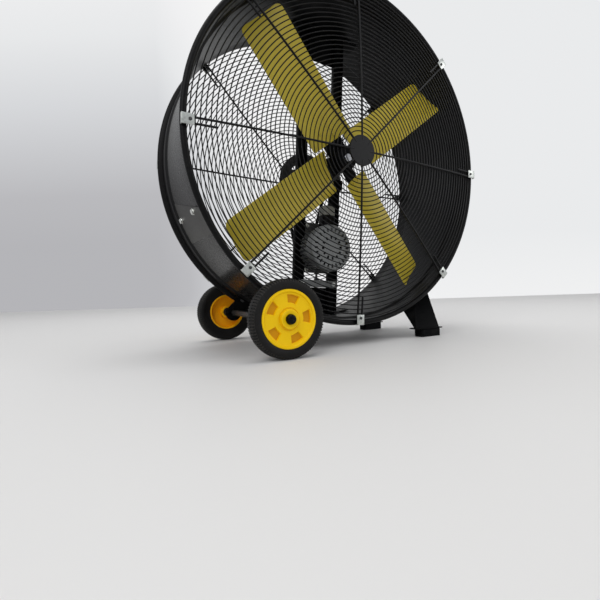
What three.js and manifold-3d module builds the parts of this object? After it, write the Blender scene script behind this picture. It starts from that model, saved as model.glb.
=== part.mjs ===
// A belt-driven drum fan on two wheels and two rubber feet.
// Millimetres. X runs along the front from the wheels to the feet, Y runs from the front grille to
// the back, Z is up. The origin is on the floor, under the middle of the whole fan.
import * as THREE from "three";
import { mergeVertices } from "three/addons/utils/BufferGeometryUtils.js";
import Module from "manifold-3d";

const wasm = await Module();
wasm.setup();

const DEG = Math.PI / 180;
const CLEAR = 0.3; // gap left between pieces that touch on the real fan

// Drum
const DRUM_OUTER_R = 515.5; // over the rolled beads
const GROUND_CLEARANCE = 60.5; // under the beads
const DRUM_DEPTH = 363; // over both beads
const BEAD_R = 8.5;
const SHEET = 2.5;
const BAND_RISE = 6.5; // how far the edge bands stand out from the plain wall
const BAND_WIDTH = 55; // from the step in the wall to the middle of the bead
const STEP_LENGTH = 6;
const DRUM_SIDES = 36;

// Grilles
const RING_WIRE_R = 2.2;
const SPOKE_WIRE_R = 3;
const SPOKES = 8;
const FRONT_RINGS = 6;
const BACK_RINGS = 5;
const RING_SIDES = 24;
const FIRST_RING_R = 110;
const HOOP_GAP = 14; // from the bead's middle in to the outermost ring
const DOME = 22; // how far the middle of a grille stands out
const GRILLE_TURN = -2 * DEG; // of the spokes about the fan shaft
const FRONT_DISC_R = 45;
const BACK_DISC_R = 60;
const SPOKE_START_R = 30;
const HAIRPIN_WIDTH = 15; // between the two legs at the end of a spoke wire
const HAIRPIN_LEG = 72;
const WELD = 1; // how far wires sink into each other where they cross
const CLIP_WIDTH = 26;
const CLIP_SHEET = 2;
const CLIP_REACH = 16; // inwards from where the hairpin's bend starts
const CLIP_SET_IN = 1; // from the outside of the bead to the clip's turned-down lip

// Blades and their spider
const BLADES = 4;
const TIP_GAP = 35; // between the blades and the drum's wall
const BLADE_ROOT_R = 66;
const BLADE_CHORD = 137;
const BLADE_SHEET = 2.5;
const BLADE_CORNER_R = 18; // at the tip
const BLADE_SNIP = 5; // cut off each corner of the root
const BLADE_PITCH = 21.35 * DEG;
const BLADE_CAMBER_R = 260; // radius of the curve across the blade
const BLADE_SET_BACK = 74; // from the front of the drum to the plane of the blades
const FIRST_BLADE_ANGLE = -143.65 * DEG;
const SPIDER_ARM_END_R = 128;
const SPIDER_ARM_WIDTH = 62;
const SPIDER_ARM_SHEET = 5;
const SPIDER_BOSS_R = 34;
const SPIDER_BOSS_LENGTH = 52;

// Shaft, bearings, pulleys and belt
const SHAFT_R = 12.5;
const SHAFT_NOSE = 33; // how far the shaft reaches past the plane of the blades
const SHAFT_BACK_Y = 160;
const BEARING_YS = [-16, 100];
const BEARING_WIDTH = 30;
const BEARING_HEIGHT = 36; // from the shelf to the shaft's centre
const BEARING_BASE = 92;
const BEARING_EDGE = 13; // thickness of its feet
const BEARING_FOOT_RISE = 3; // towards the dome
const BEARING_DOME_R = 32;
const PULLEY_Y = 142; // middle of the belt
const PULLEY_WIDTH = 20;
const FAN_PULLEY_R = 98;
const MOTOR_PULLEY_R = 30;
const FAN_PULLEY_BOSS_R = 26;
const MOTOR_PULLEY_BOSS_R = 15;
const PULLEY_HOLES = 5;
const PULLEY_HOLE_R = 14;
const PULLEY_RIM = 5; // metal under the groove
const BELT_THICK = 8;
const BELT_OUTER_WIDTH = 12;
const BELT_INNER_WIDTH = 8;
const BELT_SINK = 1.5; // how far the belt's back lies below the pulley's rim
const GROOVE_ROOM = 1.5; // under the belt
const GROOVE_SIDE_ROOM = 1; // on each side of the belt's back

// Motor
const MOTOR_DROP = 270; // from the fan shaft down to the motor shaft
const MOTOR_R = 70;
const MOTOR_FINS = 16;
const MOTOR_FIN_DEPTH = 4;
const MOTOR_FRONT_Y = -38;
const COWL_R = 77.5;
const COWL_DEPTH = 34;
const COWL_SHEET = 2;
const COWL_LAP = 13; // how far the cowl reaches over the motor's front rim
const MOTOR_SHAFT_R = 8;
const MOTOR_SHAFT_STUB = 4; // how far it reaches past the pulley
const END_BELL_R = 46;
const END_BELL_LENGTH = 85;
const END_BELL_TAPER = 20; // length over which it narrows towards its nose
const END_BELL_NOSE = 8; // length of the nose
const END_BELL_NOSE_R = 24;
const MOTOR_FAN_R = 58;
const MOTOR_FAN_DEPTH = 12;
const MOTOR_FAN_SHEET = 2;
const MOTOR_FAN_GAP = 3; // between the fan and the motor's face
const MOTOR_FAN_VANES = 7;
const COWL_ROUND = 10;
const COWL_SLOT_LENGTH = 19;
const INNER_SLOTS_R = 18; // where the inner ring of slots starts
const INNER_SLOTS = 5;
const OUTER_SLOTS_R = 45;
const OUTER_SLOTS = 10;
const COWL_SIDES = 28;
const CAPACITOR_WIDTH = 46;
const CAPACITOR_DEPTH = 44;
const CAPACITOR_RISE = 80; // over the motor's fins
const CAPACITOR_DOME = 8; // rounding of its top edge
const CAPACITOR_CORNER = 12;
const CAPACITOR_X = 16;

// Struts and plates that carry the motor and the bearings
const FRAME_TURN = -3.86 * DEG; // the struts lean this far from upright, with all that they carry
const STRUT_OUTER_X = 86;
const STRUT_WIDTH = 36;
const STRUT_FRONT_Y = 34.5;
const STRUT_DEPTH = 20;
const STRUT_SHEET = 3;
const STRUT_FOOT_SHEET = 4;
const STRUT_FOOT_FRONT = 20; // how far its flange reaches before the struts
const STRUT_FOOT_BACK = 16; // and behind its web
const STRUT_FOOT_ANGLE = 15 * DEG; // half of the arc that a strut foot covers
const PLATE_SHEET = 4;
const MOTOR_PLATE_TOP = 176; // below the fan shaft
const MOTOR_PLATE_BOTTOM = 348;
const MOTOR_PLATE_HOLE_R = 14;
const CROSSBAR_TOP = 373;
const CROSSBAR_HEIGHT = 24;
const CROSSBAR_DEPTH = 12;
const CROSSBAR_SHORT = 12; // how far each of its ends stays inside the struts' outer faces
const SHELF_FLANGE = 32;
const SHELF_SPARE = 5; // how far the shelf reaches past the bearing blocks

// Wheels and axle
const WHEEL_R = 101.5;
const TYRE_WIDTH = 44;
const WHEEL_SIDES = 24;
const WHEEL_GAP = 88; // from the axle bracket to the middle of the tyre
const AXLE_DROP = 53.57; // from the drum's edge band to the middle of the axle
const AXLE_R = 10;
const HUB_LIP_R = 75;
const HUB_BARREL_R = 61.3;
const HUB_BOSS_R = 25;
const HUB_POCKETS = 5;
const HUB_POCKET_DEPTH = 5;
const HUB_POCKET_INNER_R = 39.5;
const HUB_POCKET_OUTER_R = 64;
const HUB_POCKET_SWEEP = 33 * DEG;
const FIRST_POCKET_ANGLE = 76 * DEG;
const AXLE_CAP_R = 12.5;
const AXLE_COLLAR_R = 15;
const BRACKET_SHEET = 5;
const BRACKET_EYE_R = 28;
const BRACKET_FLANGE = 30;
const BRACKET_SET_OUT = 1.5; // of the brackets' faces past the drum's wall behind the bead
const BRACKET_FROM = -1.3 * DEG; // where its plate starts and ends on the band, seen from the fan shaft,
const BRACKET_TO = 12.7 * DEG; // counted from the axle
const FLANGE_SHEET = 4; // of the flanges that lie on the drum's bands

// Feet
const FOOT_LEFT_X = 258;
const FOOT_RIGHT_X = 345;
const FOOT_HEIGHT = 26;
const FOOT_SET_IN = 8; // from the leg's outer face to the middle of the foot
const FOOT_DEPTH = 40;
const FOOT_PLATE_SHEET = 4;
const FOOT_PLATE_LEFT_X = 240;
const FOOT_PLATE_RIGHT_X = 350;
const LEG_TOP_LEFT_X = 179;
const LEG_TOP_RIGHT_X = 290;

// Handle, switch box
const HANDLE_R = 12.5;
const HANDLE_REACH = 95.5; // from the drum's wall to the outside of the handle
const HANDLE_SPAN = 184; // between the middles of its two legs
const HANDLE_BEND = 32;
const HANDLE_FLANGE_R = 24;
const SWITCH_ANGLE = 38 * DEG;
const SWITCH_WIDTH = 92;
const SWITCH_LENGTH = 84;
const SWITCH_HEIGHT = 58;
const SWITCH_FRONT_Y = -62;
const KNOB_R = 17;
const KNOB_DEPTH = 17;
const GLAND_R = 9;
const GLAND_BORE_R = 3.5;
const GLAND_LENGTH = 24;

// Worked out from the sizes above
const AXIS_Z = DRUM_OUTER_R + GROUND_CLEARANCE; // height of the fan shaft over the floor
const HALF_DEPTH = DRUM_DEPTH / 2;
const BEAD_Y = HALF_DEPTH - BEAD_R;
const BEAD_RING_R = DRUM_OUTER_R - BEAD_R;
const BAND_IN_R = DRUM_OUTER_R - 2 * BEAD_R;
const BAND_OUT_R = BAND_IN_R + SHEET;
const WALL_IN_R = BAND_IN_R - BAND_RISE;
const WALL_OUT_R = WALL_IN_R + SHEET;
const STEP_Y = BEAD_Y - BAND_WIDTH;
const WALL_SEAT_R = WALL_IN_R * Math.cos(Math.PI / DRUM_SIDES) - CLEAR; // clear of the wall's flats
const STRUT_END_R = WALL_SEAT_R - STRUT_FOOT_SHEET - CLEAR;
const BLADE_TIP_R = WALL_IN_R - TIP_GAP;
const HOOP_R = BEAD_RING_R - HOOP_GAP;
const FACE_Y = HALF_DEPTH + CLEAR + SPOKE_WIRE_R; // middle of a spoke wire where it lies on the bead
const SPOKE_END_R = BEAD_RING_R - HAIRPIN_WIDTH / 2; // where the hairpin's bend starts
const SHELF_TOP = -BEARING_HEIGHT - CLEAR;
const GROOVE_DEPTH = BELT_THICK + BELT_SINK + GROOVE_ROOM;
const STRUT_INNER_X = STRUT_OUTER_X - STRUT_WIDTH;
const BRACKET_OUT_Y = BEAD_Y - BEAD_R - BRACKET_SET_OUT;
const BLADE_Y = BLADE_SET_BACK - HALF_DEPTH;
const SHAFT_FRONT_Y = BLADE_Y - SHAFT_NOSE;
const WHEEL_Y = BRACKET_OUT_Y + WHEEL_GAP;
const FOOT_Y = BRACKET_OUT_Y - FOOT_SET_IN;
const WHEEL_AXLE_Z = WHEEL_R - AXIS_Z; // in the drum's own frame
const HALF_FLAT = Math.PI / WHEEL_SIDES; // turns a flat of the wheel to the floor
const AXLE_X = -Math.sqrt((BAND_OUT_R + AXLE_DROP) ** 2 - WHEEL_AXLE_Z ** 2);
const AXLE_ANGLE = Math.atan2(WHEEL_AXLE_Z, AXLE_X);
const HANDLE_OUT_X = WALL_OUT_R + HANDLE_REACH;
const FAN_X = (DRUM_OUTER_R - HANDLE_OUT_X) / 2; // puts the origin under the fan's middle

// ---------------------------------------------------------------- solids

// A closed geometry as a solid that can be joined and cut, with its faces pointing out.
function solid(geometry) {
  const bare = new THREE.BufferGeometry().setAttribute("position", geometry.getAttribute("position"));
  bare.setIndex(geometry.getIndex());
  const merged = mergeVertices(bare, 1e-4);
  const corners = merged.getIndex().array;
  const faces = [];
  for (let i = 0; i < corners.length; i += 3) {
    const [a, b, c] = [corners[i], corners[i + 1], corners[i + 2]];
    if (a !== b && b !== c && c !== a) faces.push(a, b, c);
  }
  const vertProperties = merged.getAttribute("position").array;
  const build = (triVerts) => new wasm.Manifold(new wasm.Mesh({ numProp: 3, vertProperties, triVerts }));
  const made = build(new Uint32Array(faces));
  return made.volume() > 0 ? made : build(new Uint32Array(faces).reverse());
}

function join(...geometries) {
  return geometryOf(geometries.map(asSolid).reduce((all, one) => all.add(one)));
}

function cut(geometry, ...tools) {
  return geometryOf(tools.map(asSolid).reduce((left, tool) => left.subtract(tool), asSolid(geometry)));
}

function common(first, second) {
  return geometryOf(asSolid(first).intersect(asSolid(second)));
}

function asSolid(thing) {
  return thing.isBufferGeometry ? solid(thing) : thing;
}

function geometryOf(made) {
  const mesh = made.getMesh();
  const positions = new Float32Array(mesh.numVert * 3);
  for (let i = 0; i < mesh.numVert; i++)
    positions.set(mesh.vertProperties.subarray(i * mesh.numProp, i * mesh.numProp + 3), i * 3);
  const geometry = new THREE.BufferGeometry();
  geometry.setAttribute("position", new THREE.BufferAttribute(positions, 3));
  return geometry.setIndex(new THREE.BufferAttribute(mesh.triVerts, 1));
}

// ---------------------------------------------------------------- basic shapes

// A closed profile of [radius, y] points turned about the Y axis.
function turned(profile, sides, start = 0) {
  const points = [...profile, profile[0]].map(([radius, y]) => new THREE.Vector2(radius, y));
  return geometryOf(solid(new THREE.LatheGeometry(points, sides, start)));
}

// A round bar along Y.
function bar(radius, fromY, toY, sides = 24) {
  return new THREE.CylinderGeometry(radius, radius, toY - fromY, sides).translate(0, (fromY + toY) / 2, 0);
}

// An outline in the XZ plane, carried along Y.
function slab(shape, fromY, toY, curveSegments = 8) {
  const options = { depth: toY - fromY, bevelEnabled: false, curveSegments };
  return new THREE.ExtrudeGeometry(shape, options).rotateX(Math.PI / 2).translate(0, toY, 0);
}

// An outline in the YZ plane, carried along X.
function rail(shape, fromX, toX, curveSegments = 8) {
  const axes = [new THREE.Vector3(0, 1, 0), new THREE.Vector3(0, 0, 1), new THREE.Vector3(1, 0, 0)];
  const turn = new THREE.Matrix4().makeBasis(...axes);
  const options = { depth: toX - fromX, bevelEnabled: false, curveSegments };
  return new THREE.ExtrudeGeometry(shape, options).applyMatrix4(turn).translate(fromX, 0, 0);
}

function block(from, to) {
  const size = to.map((high, i) => high - from[i]);
  const middle = to.map((high, i) => (high + from[i]) / 2);
  return new THREE.BoxGeometry(...size).translate(...middle);
}

function outline(points) {
  return new THREE.Shape(points.map(([x, y]) => new THREE.Vector2(x, y)));
}

// A path that a tube follows from one given point to the next, mitred halfway between its runs.
class Runs extends THREE.Curve {
  constructor(points) {
    super();
    this.points = points;
  }
  index(share) {
    return Math.round(share * (this.points.length - 1));
  }
  getPointAt(share) {
    return this.points[this.index(share)].clone();
  }
  getTangentAt(share) {
    const i = this.index(share);
    const last = this.points.length - 1;
    const run = (a, b) => this.points[b].clone().sub(this.points[a]).normalize();
    const before = run(Math.max(i - 1, 0), Math.max(i, 1));
    const after = run(Math.min(i, last - 1), Math.min(i + 1, last));
    return before.add(after).normalize();
  }
}

// A wire or tube through the given points; its flats lie at the given radius.
function tube(points, radius, sides) {
  const cornerR = radius / Math.cos(Math.PI / sides);
  const section = outline(range(sides).map((i) => towards(cornerR, ((i + 0.5) * 360 * DEG) / sides)));
  const options = { steps: points.length - 1, bevelEnabled: false, extrudePath: new Runs(points) };
  return new THREE.ExtrudeGeometry(section, options);
}

function roundedBox(width, height, corner) {
  const shape = new THREE.Shape();
  const [x, y] = [width / 2 - corner, height / 2 - corner];
  shape.absarc(x, y, corner, 0, 90 * DEG);
  shape.absarc(-x, y, corner, 90 * DEG, 180 * DEG);
  shape.absarc(-x, -y, corner, 180 * DEG, 270 * DEG);
  shape.absarc(x, -y, corner, 270 * DEG, 360 * DEG);
  return shape;
}

// A strip between two radii about the fan shaft, from one angle to another.
function arcStrip(innerR, outerR, fromAngle, toAngle) {
  const shape = new THREE.Shape();
  shape.absarc(0, 0, outerR, fromAngle, toAngle, false);
  shape.absarc(0, 0, innerR, toAngle, fromAngle, true);
  return shape;
}

function hole(x, y, radius) {
  return new THREE.Path().absarc(x, y, radius, 0, 2 * Math.PI);
}

const range = (count) => Array.from({ length: count }, (_, i) => i);
const towards = (radius, angle) => [radius * Math.cos(angle), radius * Math.sin(angle)];

// ---------------------------------------------------------------- materials

function finish(color, roughness, metalness) {
  return new THREE.MeshStandardMaterial({ color, roughness, metalness });
}

const blackPaint = finish(0x2b2b2d, 0.42, 0.2);
const blackWire = finish(0x161617, 0.45, 0.3);
const yellowPaint = finish(0xc7b01c, 0.45, 0.05);
const yellowPlastic = finish(0xe8c010, 0.4, 0);
const rubber = finish(0x1c1c1e, 0.8, 0);
const zinc = finish(0xb9bab4, 0.35, 0.9);
const steel = finish(0x8d9094, 0.35, 0.9);
const castIron = finish(0x3a3c3f, 0.55, 0.6);
const greyPaint = finish(0x5b5e60, 0.45, 0.3);
const greyPlastic = finish(0x77776f, 0.5, 0);
const blackPlastic = finish(0x1a1a1b, 0.5, 0);

function piece(name, geometry, material, parent) {
  const mesh = new THREE.Mesh(geometry, material);
  mesh.name = name;
  parent.add(mesh);
  return mesh;
}

// ---------------------------------------------------------------- drum

// One sheet rolled round, stepped out into a band at each edge and curled into a bead.
function drumShell() {
  const beadSteps = 5;
  const half = [
    [WALL_IN_R, STEP_Y],
    [BAND_IN_R, STEP_Y + STEP_LENGTH],
  ];
  for (const step of range(beadSteps + 1)) {
    const angle = (180 - 45 * step) * DEG;
    half.push([BEAD_RING_R + BEAD_R * Math.cos(angle), BEAD_Y + BEAD_R * Math.sin(angle)]);
  }
  half.push([BAND_OUT_R, BEAD_Y - BEAD_R], [BAND_OUT_R, STEP_Y + STEP_LENGTH], [WALL_OUT_R, STEP_Y]);
  const otherHalf = half.map(([radius, y]) => [radius, -y]).reverse();
  return turned([...half, ...otherHalf], DRUM_SIDES);
}

// ---------------------------------------------------------------- grilles

// Middle of the spoke wires: highest at the fan's axis, level with the bead from the hairpins outwards.
const domeY = (radius) => FACE_Y + DOME * Math.max(0, 1 - (radius / SPOKE_END_R) ** 2);

function wireRing(radius) {
  const y = domeY(radius) - SPOKE_WIRE_R - RING_WIRE_R + WELD;
  const w = RING_WIRE_R;
  const section = [
    [radius - w, y - w / 2],
    [radius, y + w],
    [radius + w, y - w / 2],
  ];
  return turned(section, RING_SIDES, Math.PI / RING_SIDES);
}

// A spoke wire with its end turned back in a hairpin, which its clip holds.
function spoke(angle) {
  const up = new THREE.Vector3(0, 1, 0);
  const point = (radius, across) => {
    const flat = new THREE.Vector3(radius, domeY(radius), across);
    return flat.applyAxisAngle(up, -angle);
  };
  const length = SPOKE_END_R - SPOKE_START_R;
  const straight = [0, 0.35, 0.7].map((share) => point(SPOKE_START_R + share * length, 0));
  const bend = [0, 60, 120, 180].map((turn) => {
    const [reach, across] = towards(HAIRPIN_WIDTH / 2, (turn - 90) * DEG);
    return point(SPOKE_END_R + reach, HAIRPIN_WIDTH / 2 + across);
  });
  const end = point(SPOKE_END_R - HAIRPIN_LEG, HAIRPIN_WIDTH);
  return tube([...straight, ...bend, end], SPOKE_WIRE_R, 4);
}

const spokeAngle = (i) => (i * 360 * DEG) / SPOKES;

function grille(rings, discR) {
  const pitch = (HOOP_R - FIRST_RING_R) / (rings - 1);
  const wires = range(rings).map((i) => wireRing(FIRST_RING_R + i * pitch));
  const spokes = range(SPOKES).map((i) => spoke(spokeAngle(i)));
  const discSides = 2 * SPOKES;
  const disc = bar(discR, domeY(0) - SPOKE_WIRE_R, domeY(0) + SPOKE_WIRE_R - WELD, discSides);
  return join(disc.rotateY(Math.PI / discSides), ...spokes, ...wires);
}

// A bent zinc plate that holds a hairpin down on the bead.
function clip() {
  const [inner, outer] = [SPOKE_END_R - CLIP_REACH, DRUM_OUTER_R - CLIP_SET_IN];
  const under = domeY(inner) + SPOKE_WIRE_R + CLEAR;
  const top = outline([
    [inner, under],
    [outer - CLIP_SHEET, under],
    [outer - CLIP_SHEET, HALF_DEPTH + CLEAR],
    [outer, HALF_DEPTH + CLEAR],
    [outer, under + CLIP_SHEET],
    [inner, under + CLIP_SHEET],
  ]);
  const plate = new THREE.ExtrudeGeometry(top, { depth: CLIP_WIDTH, bevelEnabled: false });
  return plate.translate(0, 0, HAIRPIN_WIDTH / 2 - CLIP_WIDTH / 2);
}

function addClips(parent, word) {
  for (const i of range(SPOKES)) {
    const mesh = piece(`${word}_clip_${i + 1}`, clip(), zinc, parent);
    mesh.rotation.y = -spokeAngle(i);
  }
}

// ---------------------------------------------------------------- blades

// A strip of a cylinder's wall: the curved section that blades and spider arms share.
// It runs out along X from one radius to the other, curved across Z, with its hollow side to the front.
function curvedStrip(width, thickness, offset, fromR, toR) {
  const reach = Math.asin(width / 2 / BLADE_CAMBER_R);
  const centre = BLADE_CAMBER_R;
  const [innerR, outerR] = [BLADE_CAMBER_R + offset, BLADE_CAMBER_R + offset + thickness];
  const section = new THREE.Shape();
  section.absarc(-centre, 0, outerR, -reach, reach, false);
  section.absarc(-centre, 0, innerR, reach, -reach, true);
  return rail(section, fromR, toR, 4);
}

// The blade's outline seen square on: rounded corners at the tip, nearly square ones at the root.
function bladeOutline() {
  const half = BLADE_CHORD / 2;
  const [tipX, tipY] = [BLADE_TIP_R - BLADE_CORNER_R, half - BLADE_CORNER_R];
  const shape = new THREE.Shape();
  shape.moveTo(BLADE_ROOT_R, -half + BLADE_SNIP);
  shape.lineTo(BLADE_ROOT_R + BLADE_SNIP, -half);
  shape.absarc(tipX, -tipY, BLADE_CORNER_R, -90 * DEG, 0);
  shape.absarc(tipX, tipY, BLADE_CORNER_R, 0, 90 * DEG);
  shape.lineTo(BLADE_ROOT_R + BLADE_SNIP, half);
  shape.lineTo(BLADE_ROOT_R, half - BLADE_SNIP);
  return shape;
}

function blade() {
  const sheet = curvedStrip(BLADE_CHORD, BLADE_SHEET, 0, BLADE_ROOT_R, BLADE_TIP_R + 1);
  const cookie = slab(bladeOutline(), -BLADE_CHORD / 2, BLADE_CHORD / 2, 4);
  return common(sheet, cookie).rotateX(-BLADE_PITCH);
}

// Boss and four arms; each arm lies behind its blade along the same curve.
function spider() {
  const boss = bar(SPIDER_BOSS_R, -SPIDER_BOSS_LENGTH / 2, SPIDER_BOSS_LENGTH / 2, 16);
  const arms = range(BLADES).map((i) => {
    const behind = BLADE_SHEET + CLEAR;
    const root = (SPIDER_BOSS_R + SHAFT_R) / 2;
    const arm = curvedStrip(SPIDER_ARM_WIDTH, SPIDER_ARM_SHEET, behind, root, SPIDER_ARM_END_R);
    return arm.rotateX(-BLADE_PITCH).rotateY(-bladeAngle(i));
  });
  const bore = bar(SHAFT_R + CLEAR, -SPIDER_BOSS_LENGTH, SPIDER_BOSS_LENGTH, 16);
  return cut(join(boss, ...arms), bore);
}

const bladeAngle = (i) => FIRST_BLADE_ANGLE + (i * 360 * DEG) / BLADES;

function addRotor(parent) {
  const rotor = new THREE.Group();
  rotor.position.y = BLADE_Y;
  parent.add(rotor);
  piece("blade_spider", spider(), blackPaint, rotor);
  for (const i of range(BLADES)) {
    const mesh = piece(`fan_blade_${i + 1}`, blade(), yellowPaint, rotor);
    mesh.rotation.y = -bladeAngle(i);
  }
  piece("fan_shaft", bar(SHAFT_R, SHAFT_FRONT_Y, SHAFT_BACK_Y, 16), steel, parent);
}

// ---------------------------------------------------------------- bearings and belt drive

// A cast block on two feet, domed over its bearing.
function bearingBlock() {
  const footTop = -BEARING_HEIGHT + BEARING_EDGE;
  const shape = new THREE.Shape();
  shape.moveTo(-BEARING_BASE / 2, -BEARING_HEIGHT);
  shape.lineTo(BEARING_BASE / 2, -BEARING_HEIGHT);
  shape.lineTo(BEARING_BASE / 2, footTop);
  shape.lineTo(BEARING_DOME_R, footTop + BEARING_FOOT_RISE);
  shape.absarc(0, 0, BEARING_DOME_R, -30 * DEG, 210 * DEG, false);
  shape.lineTo(-BEARING_DOME_R, footTop + BEARING_FOOT_RISE);
  shape.lineTo(-BEARING_BASE / 2, footTop);
  shape.holes.push(hole(0, 0, SHAFT_R + 2 * CLEAR));
  return slab(shape, -BEARING_WIDTH / 2, BEARING_WIDTH / 2, 9);
}

// A grooved pulley: boss, thin web and rim about its shaft. A small one has no room for a web.
function pulley(radius, boreR, bossR, sides) {
  const half = PULLEY_WIDTH / 2;
  const webHalf = half * 0.3;
  const mouth = BELT_OUTER_WIDTH / 2 + GROOVE_SIDE_ROOM;
  const floor = BELT_INNER_WIDTH / 2 + 2 * CLEAR;
  const floorR = radius - GROOVE_DEPTH;
  const rimInnerR = floorR - PULLEY_RIM;
  const hasWeb = rimInnerR > bossR + PULLEY_RIM;
  const face = [[bossR, half], [bossR, webHalf], [rimInnerR - 2, webHalf], [rimInnerR, half]];
  const profile = [
    [boreR, half],
    ...(hasWeb ? face : []),
    [radius, half],
    [radius, mouth],
    [floorR, floor],
    [floorR, -floor],
    [radius, -mouth],
    [radius, -half],
    ...(hasWeb ? face.map(([r, y]) => [r, -y]).reverse() : []),
    [boreR, -half],
  ];
  return turned(profile, sides);
}

function fanPulley() {
  const disc = pulley(FAN_PULLEY_R, SHAFT_R + CLEAR, FAN_PULLEY_BOSS_R, 20);
  const webMiddle = (FAN_PULLEY_BOSS_R + FAN_PULLEY_R - GROOVE_DEPTH - PULLEY_RIM) / 2;
  const holes = range(PULLEY_HOLES).map((i) =>
    bar(PULLEY_HOLE_R, -PULLEY_WIDTH, PULLEY_WIDTH, 6)
      .translate(0, 0, webMiddle)
      .rotateY((i * 360 * DEG) / PULLEY_HOLES),
  );
  return cut(disc, ...holes);
}

// The belt's loop: one station for each outward direction round the two pulleys.
function beltStations() {
  const lean = Math.asin((FAN_PULLEY_R - MOTOR_PULLEY_R) / MOTOR_DROP);
  const [right, left] = [-lean, Math.PI + lean];
  const sweep = (count, from, to, radius, z) =>
    range(count + 1).map((i) => ({ angle: from + ((to - from) * i) / count, radius, z }));
  const upper = sweep(20, right, left, FAN_PULLEY_R - BELT_SINK, 0);
  const lower = sweep(8, left, right + 2 * Math.PI, MOTOR_PULLEY_R - BELT_SINK, -MOTOR_DROP);
  return [...upper, ...lower];
}

function belt() {
  const corners = [
    [0, -BELT_OUTER_WIDTH / 2],
    [0, BELT_OUTER_WIDTH / 2],
    [-BELT_THICK, BELT_INNER_WIDTH / 2],
    [-BELT_THICK, -BELT_INNER_WIDTH / 2],
  ];
  const stations = beltStations();
  const positions = stations.flatMap(({ angle, radius, z }) =>
    corners.flatMap(([lift, y]) => {
      const [x, rise] = towards(radius + lift, angle);
      return [x, y, z + rise];
    }),
  );
  const faces = stations.flatMap((_, i) =>
    corners.flatMap((__, c) => {
      const [here, next] = [4 * i, 4 * ((i + 1) % stations.length)];
      const d = (c + 1) % 4;
      return [here + c, next + c, next + d, here + c, next + d, here + d];
    }),
  );
  const geometry = new THREE.BufferGeometry();
  geometry.setAttribute("position", new THREE.Float32BufferAttribute(positions, 3));
  return geometryOf(solid(geometry.setIndex(faces)));
}

function addDrive(parent) {
  for (const [i, y] of BEARING_YS.entries())
    piece(`bearing_block_${["front", "back"][i]}`, bearingBlock(), castIron, parent).position.y = y;
  piece("fan_pulley", fanPulley(), castIron, parent).position.y = PULLEY_Y;
  piece("drive_belt", belt(), rubber, parent).position.y = PULLEY_Y;
}

// ---------------------------------------------------------------- motor

function finnedRing() {
  const tooth = (i) => MOTOR_R - (i % 4 < 2 ? 0 : MOTOR_FIN_DEPTH);
  const count = MOTOR_FINS * 4;
  const points = range(count).map((i) => {
    const angle = ((i + 0.5) * 360 * DEG) / count;
    return [tooth(i) * Math.cos(angle), tooth(i) * Math.sin(angle)];
  });
  return outline(points);
}

function motorBody() {
  const finned = slab(finnedRing(), MOTOR_FRONT_Y + COWL_LAP, STRUT_FRONT_Y - CLEAR);
  const rimR = (COWL_R - COWL_SHEET - CLEAR) * Math.cos(Math.PI / COWL_SIDES);
  const rim = bar(rimR, MOTOR_FRONT_Y, MOTOR_FRONT_Y + COWL_LAP + 1, COWL_SIDES);
  return cut(join(finned, rim), bar(MOTOR_SHAFT_R + CLEAR, MOTOR_FRONT_Y - 1, STRUT_FRONT_Y, 16));
}

// The end cover over the motor's own cooling fan, with rings of air slots.
function motorCowl() {
  const back = MOTOR_FRONT_Y + COWL_LAP;
  const front = back - COWL_DEPTH;
  const inner = COWL_R - COWL_SHEET;
  const profile = [
    [0, front],
    [COWL_R - COWL_ROUND, front],
    [COWL_R, front + COWL_ROUND],
    [COWL_R, back],
    [inner, back],
    [inner, front + COWL_ROUND + 1],
    [inner - COWL_ROUND, front + COWL_SHEET],
    [0, front + COWL_SHEET],
  ];
  const slots = (startR, count) => {
    const share = (360 * DEG) / count;
    const slot = (i) => arcStrip(startR, startR + COWL_SLOT_LENGTH, i * share, i * share + share * 0.66);
    return range(count).map((i) => slab(slot(i), front - 1, front + COWL_SHEET + 1, 1));
  };
  const cup = turned(profile, COWL_SIDES);
  return cut(cup, ...slots(INNER_SLOTS_R, INNER_SLOTS), ...slots(OUTER_SLOTS_R, OUTER_SLOTS));
}

function motorFan() {
  const back = MOTOR_FRONT_Y - MOTOR_FAN_GAP;
  const front = back - MOTOR_FAN_DEPTH;
  const disc = bar(MOTOR_FAN_R, back - MOTOR_FAN_SHEET, back, 24);
  const boss = bar(2 * MOTOR_SHAFT_R, front, back, 16);
  const half = MOTOR_FAN_SHEET / 2;
  const [innerX, outerX] = [2 * MOTOR_SHAFT_R - half, MOTOR_FAN_R - MOTOR_FAN_SHEET];
  const vane = () => block([innerX, front + half, -half], [outerX, back - half, half]);
  const vanes = range(MOTOR_FAN_VANES).map((i) => vane().rotateY((i * 360 * DEG) / MOTOR_FAN_VANES));
  return cut(join(disc, boss, ...vanes), bar(MOTOR_SHAFT_R + CLEAR, front - 1, back + 1, 16));
}

function endBell() {
  const front = STRUT_FRONT_Y + PLATE_SHEET + CLEAR;
  const back = front + END_BELL_LENGTH;
  const bore = MOTOR_SHAFT_R + CLEAR;
  const profile = [
    [bore, front],
    [END_BELL_R, front],
    [END_BELL_R, back - END_BELL_NOSE - END_BELL_TAPER],
    [END_BELL_NOSE_R, back - END_BELL_NOSE],
    [END_BELL_NOSE_R, back],
    [bore, back],
  ];
  return turned(profile, 16);
}

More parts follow.
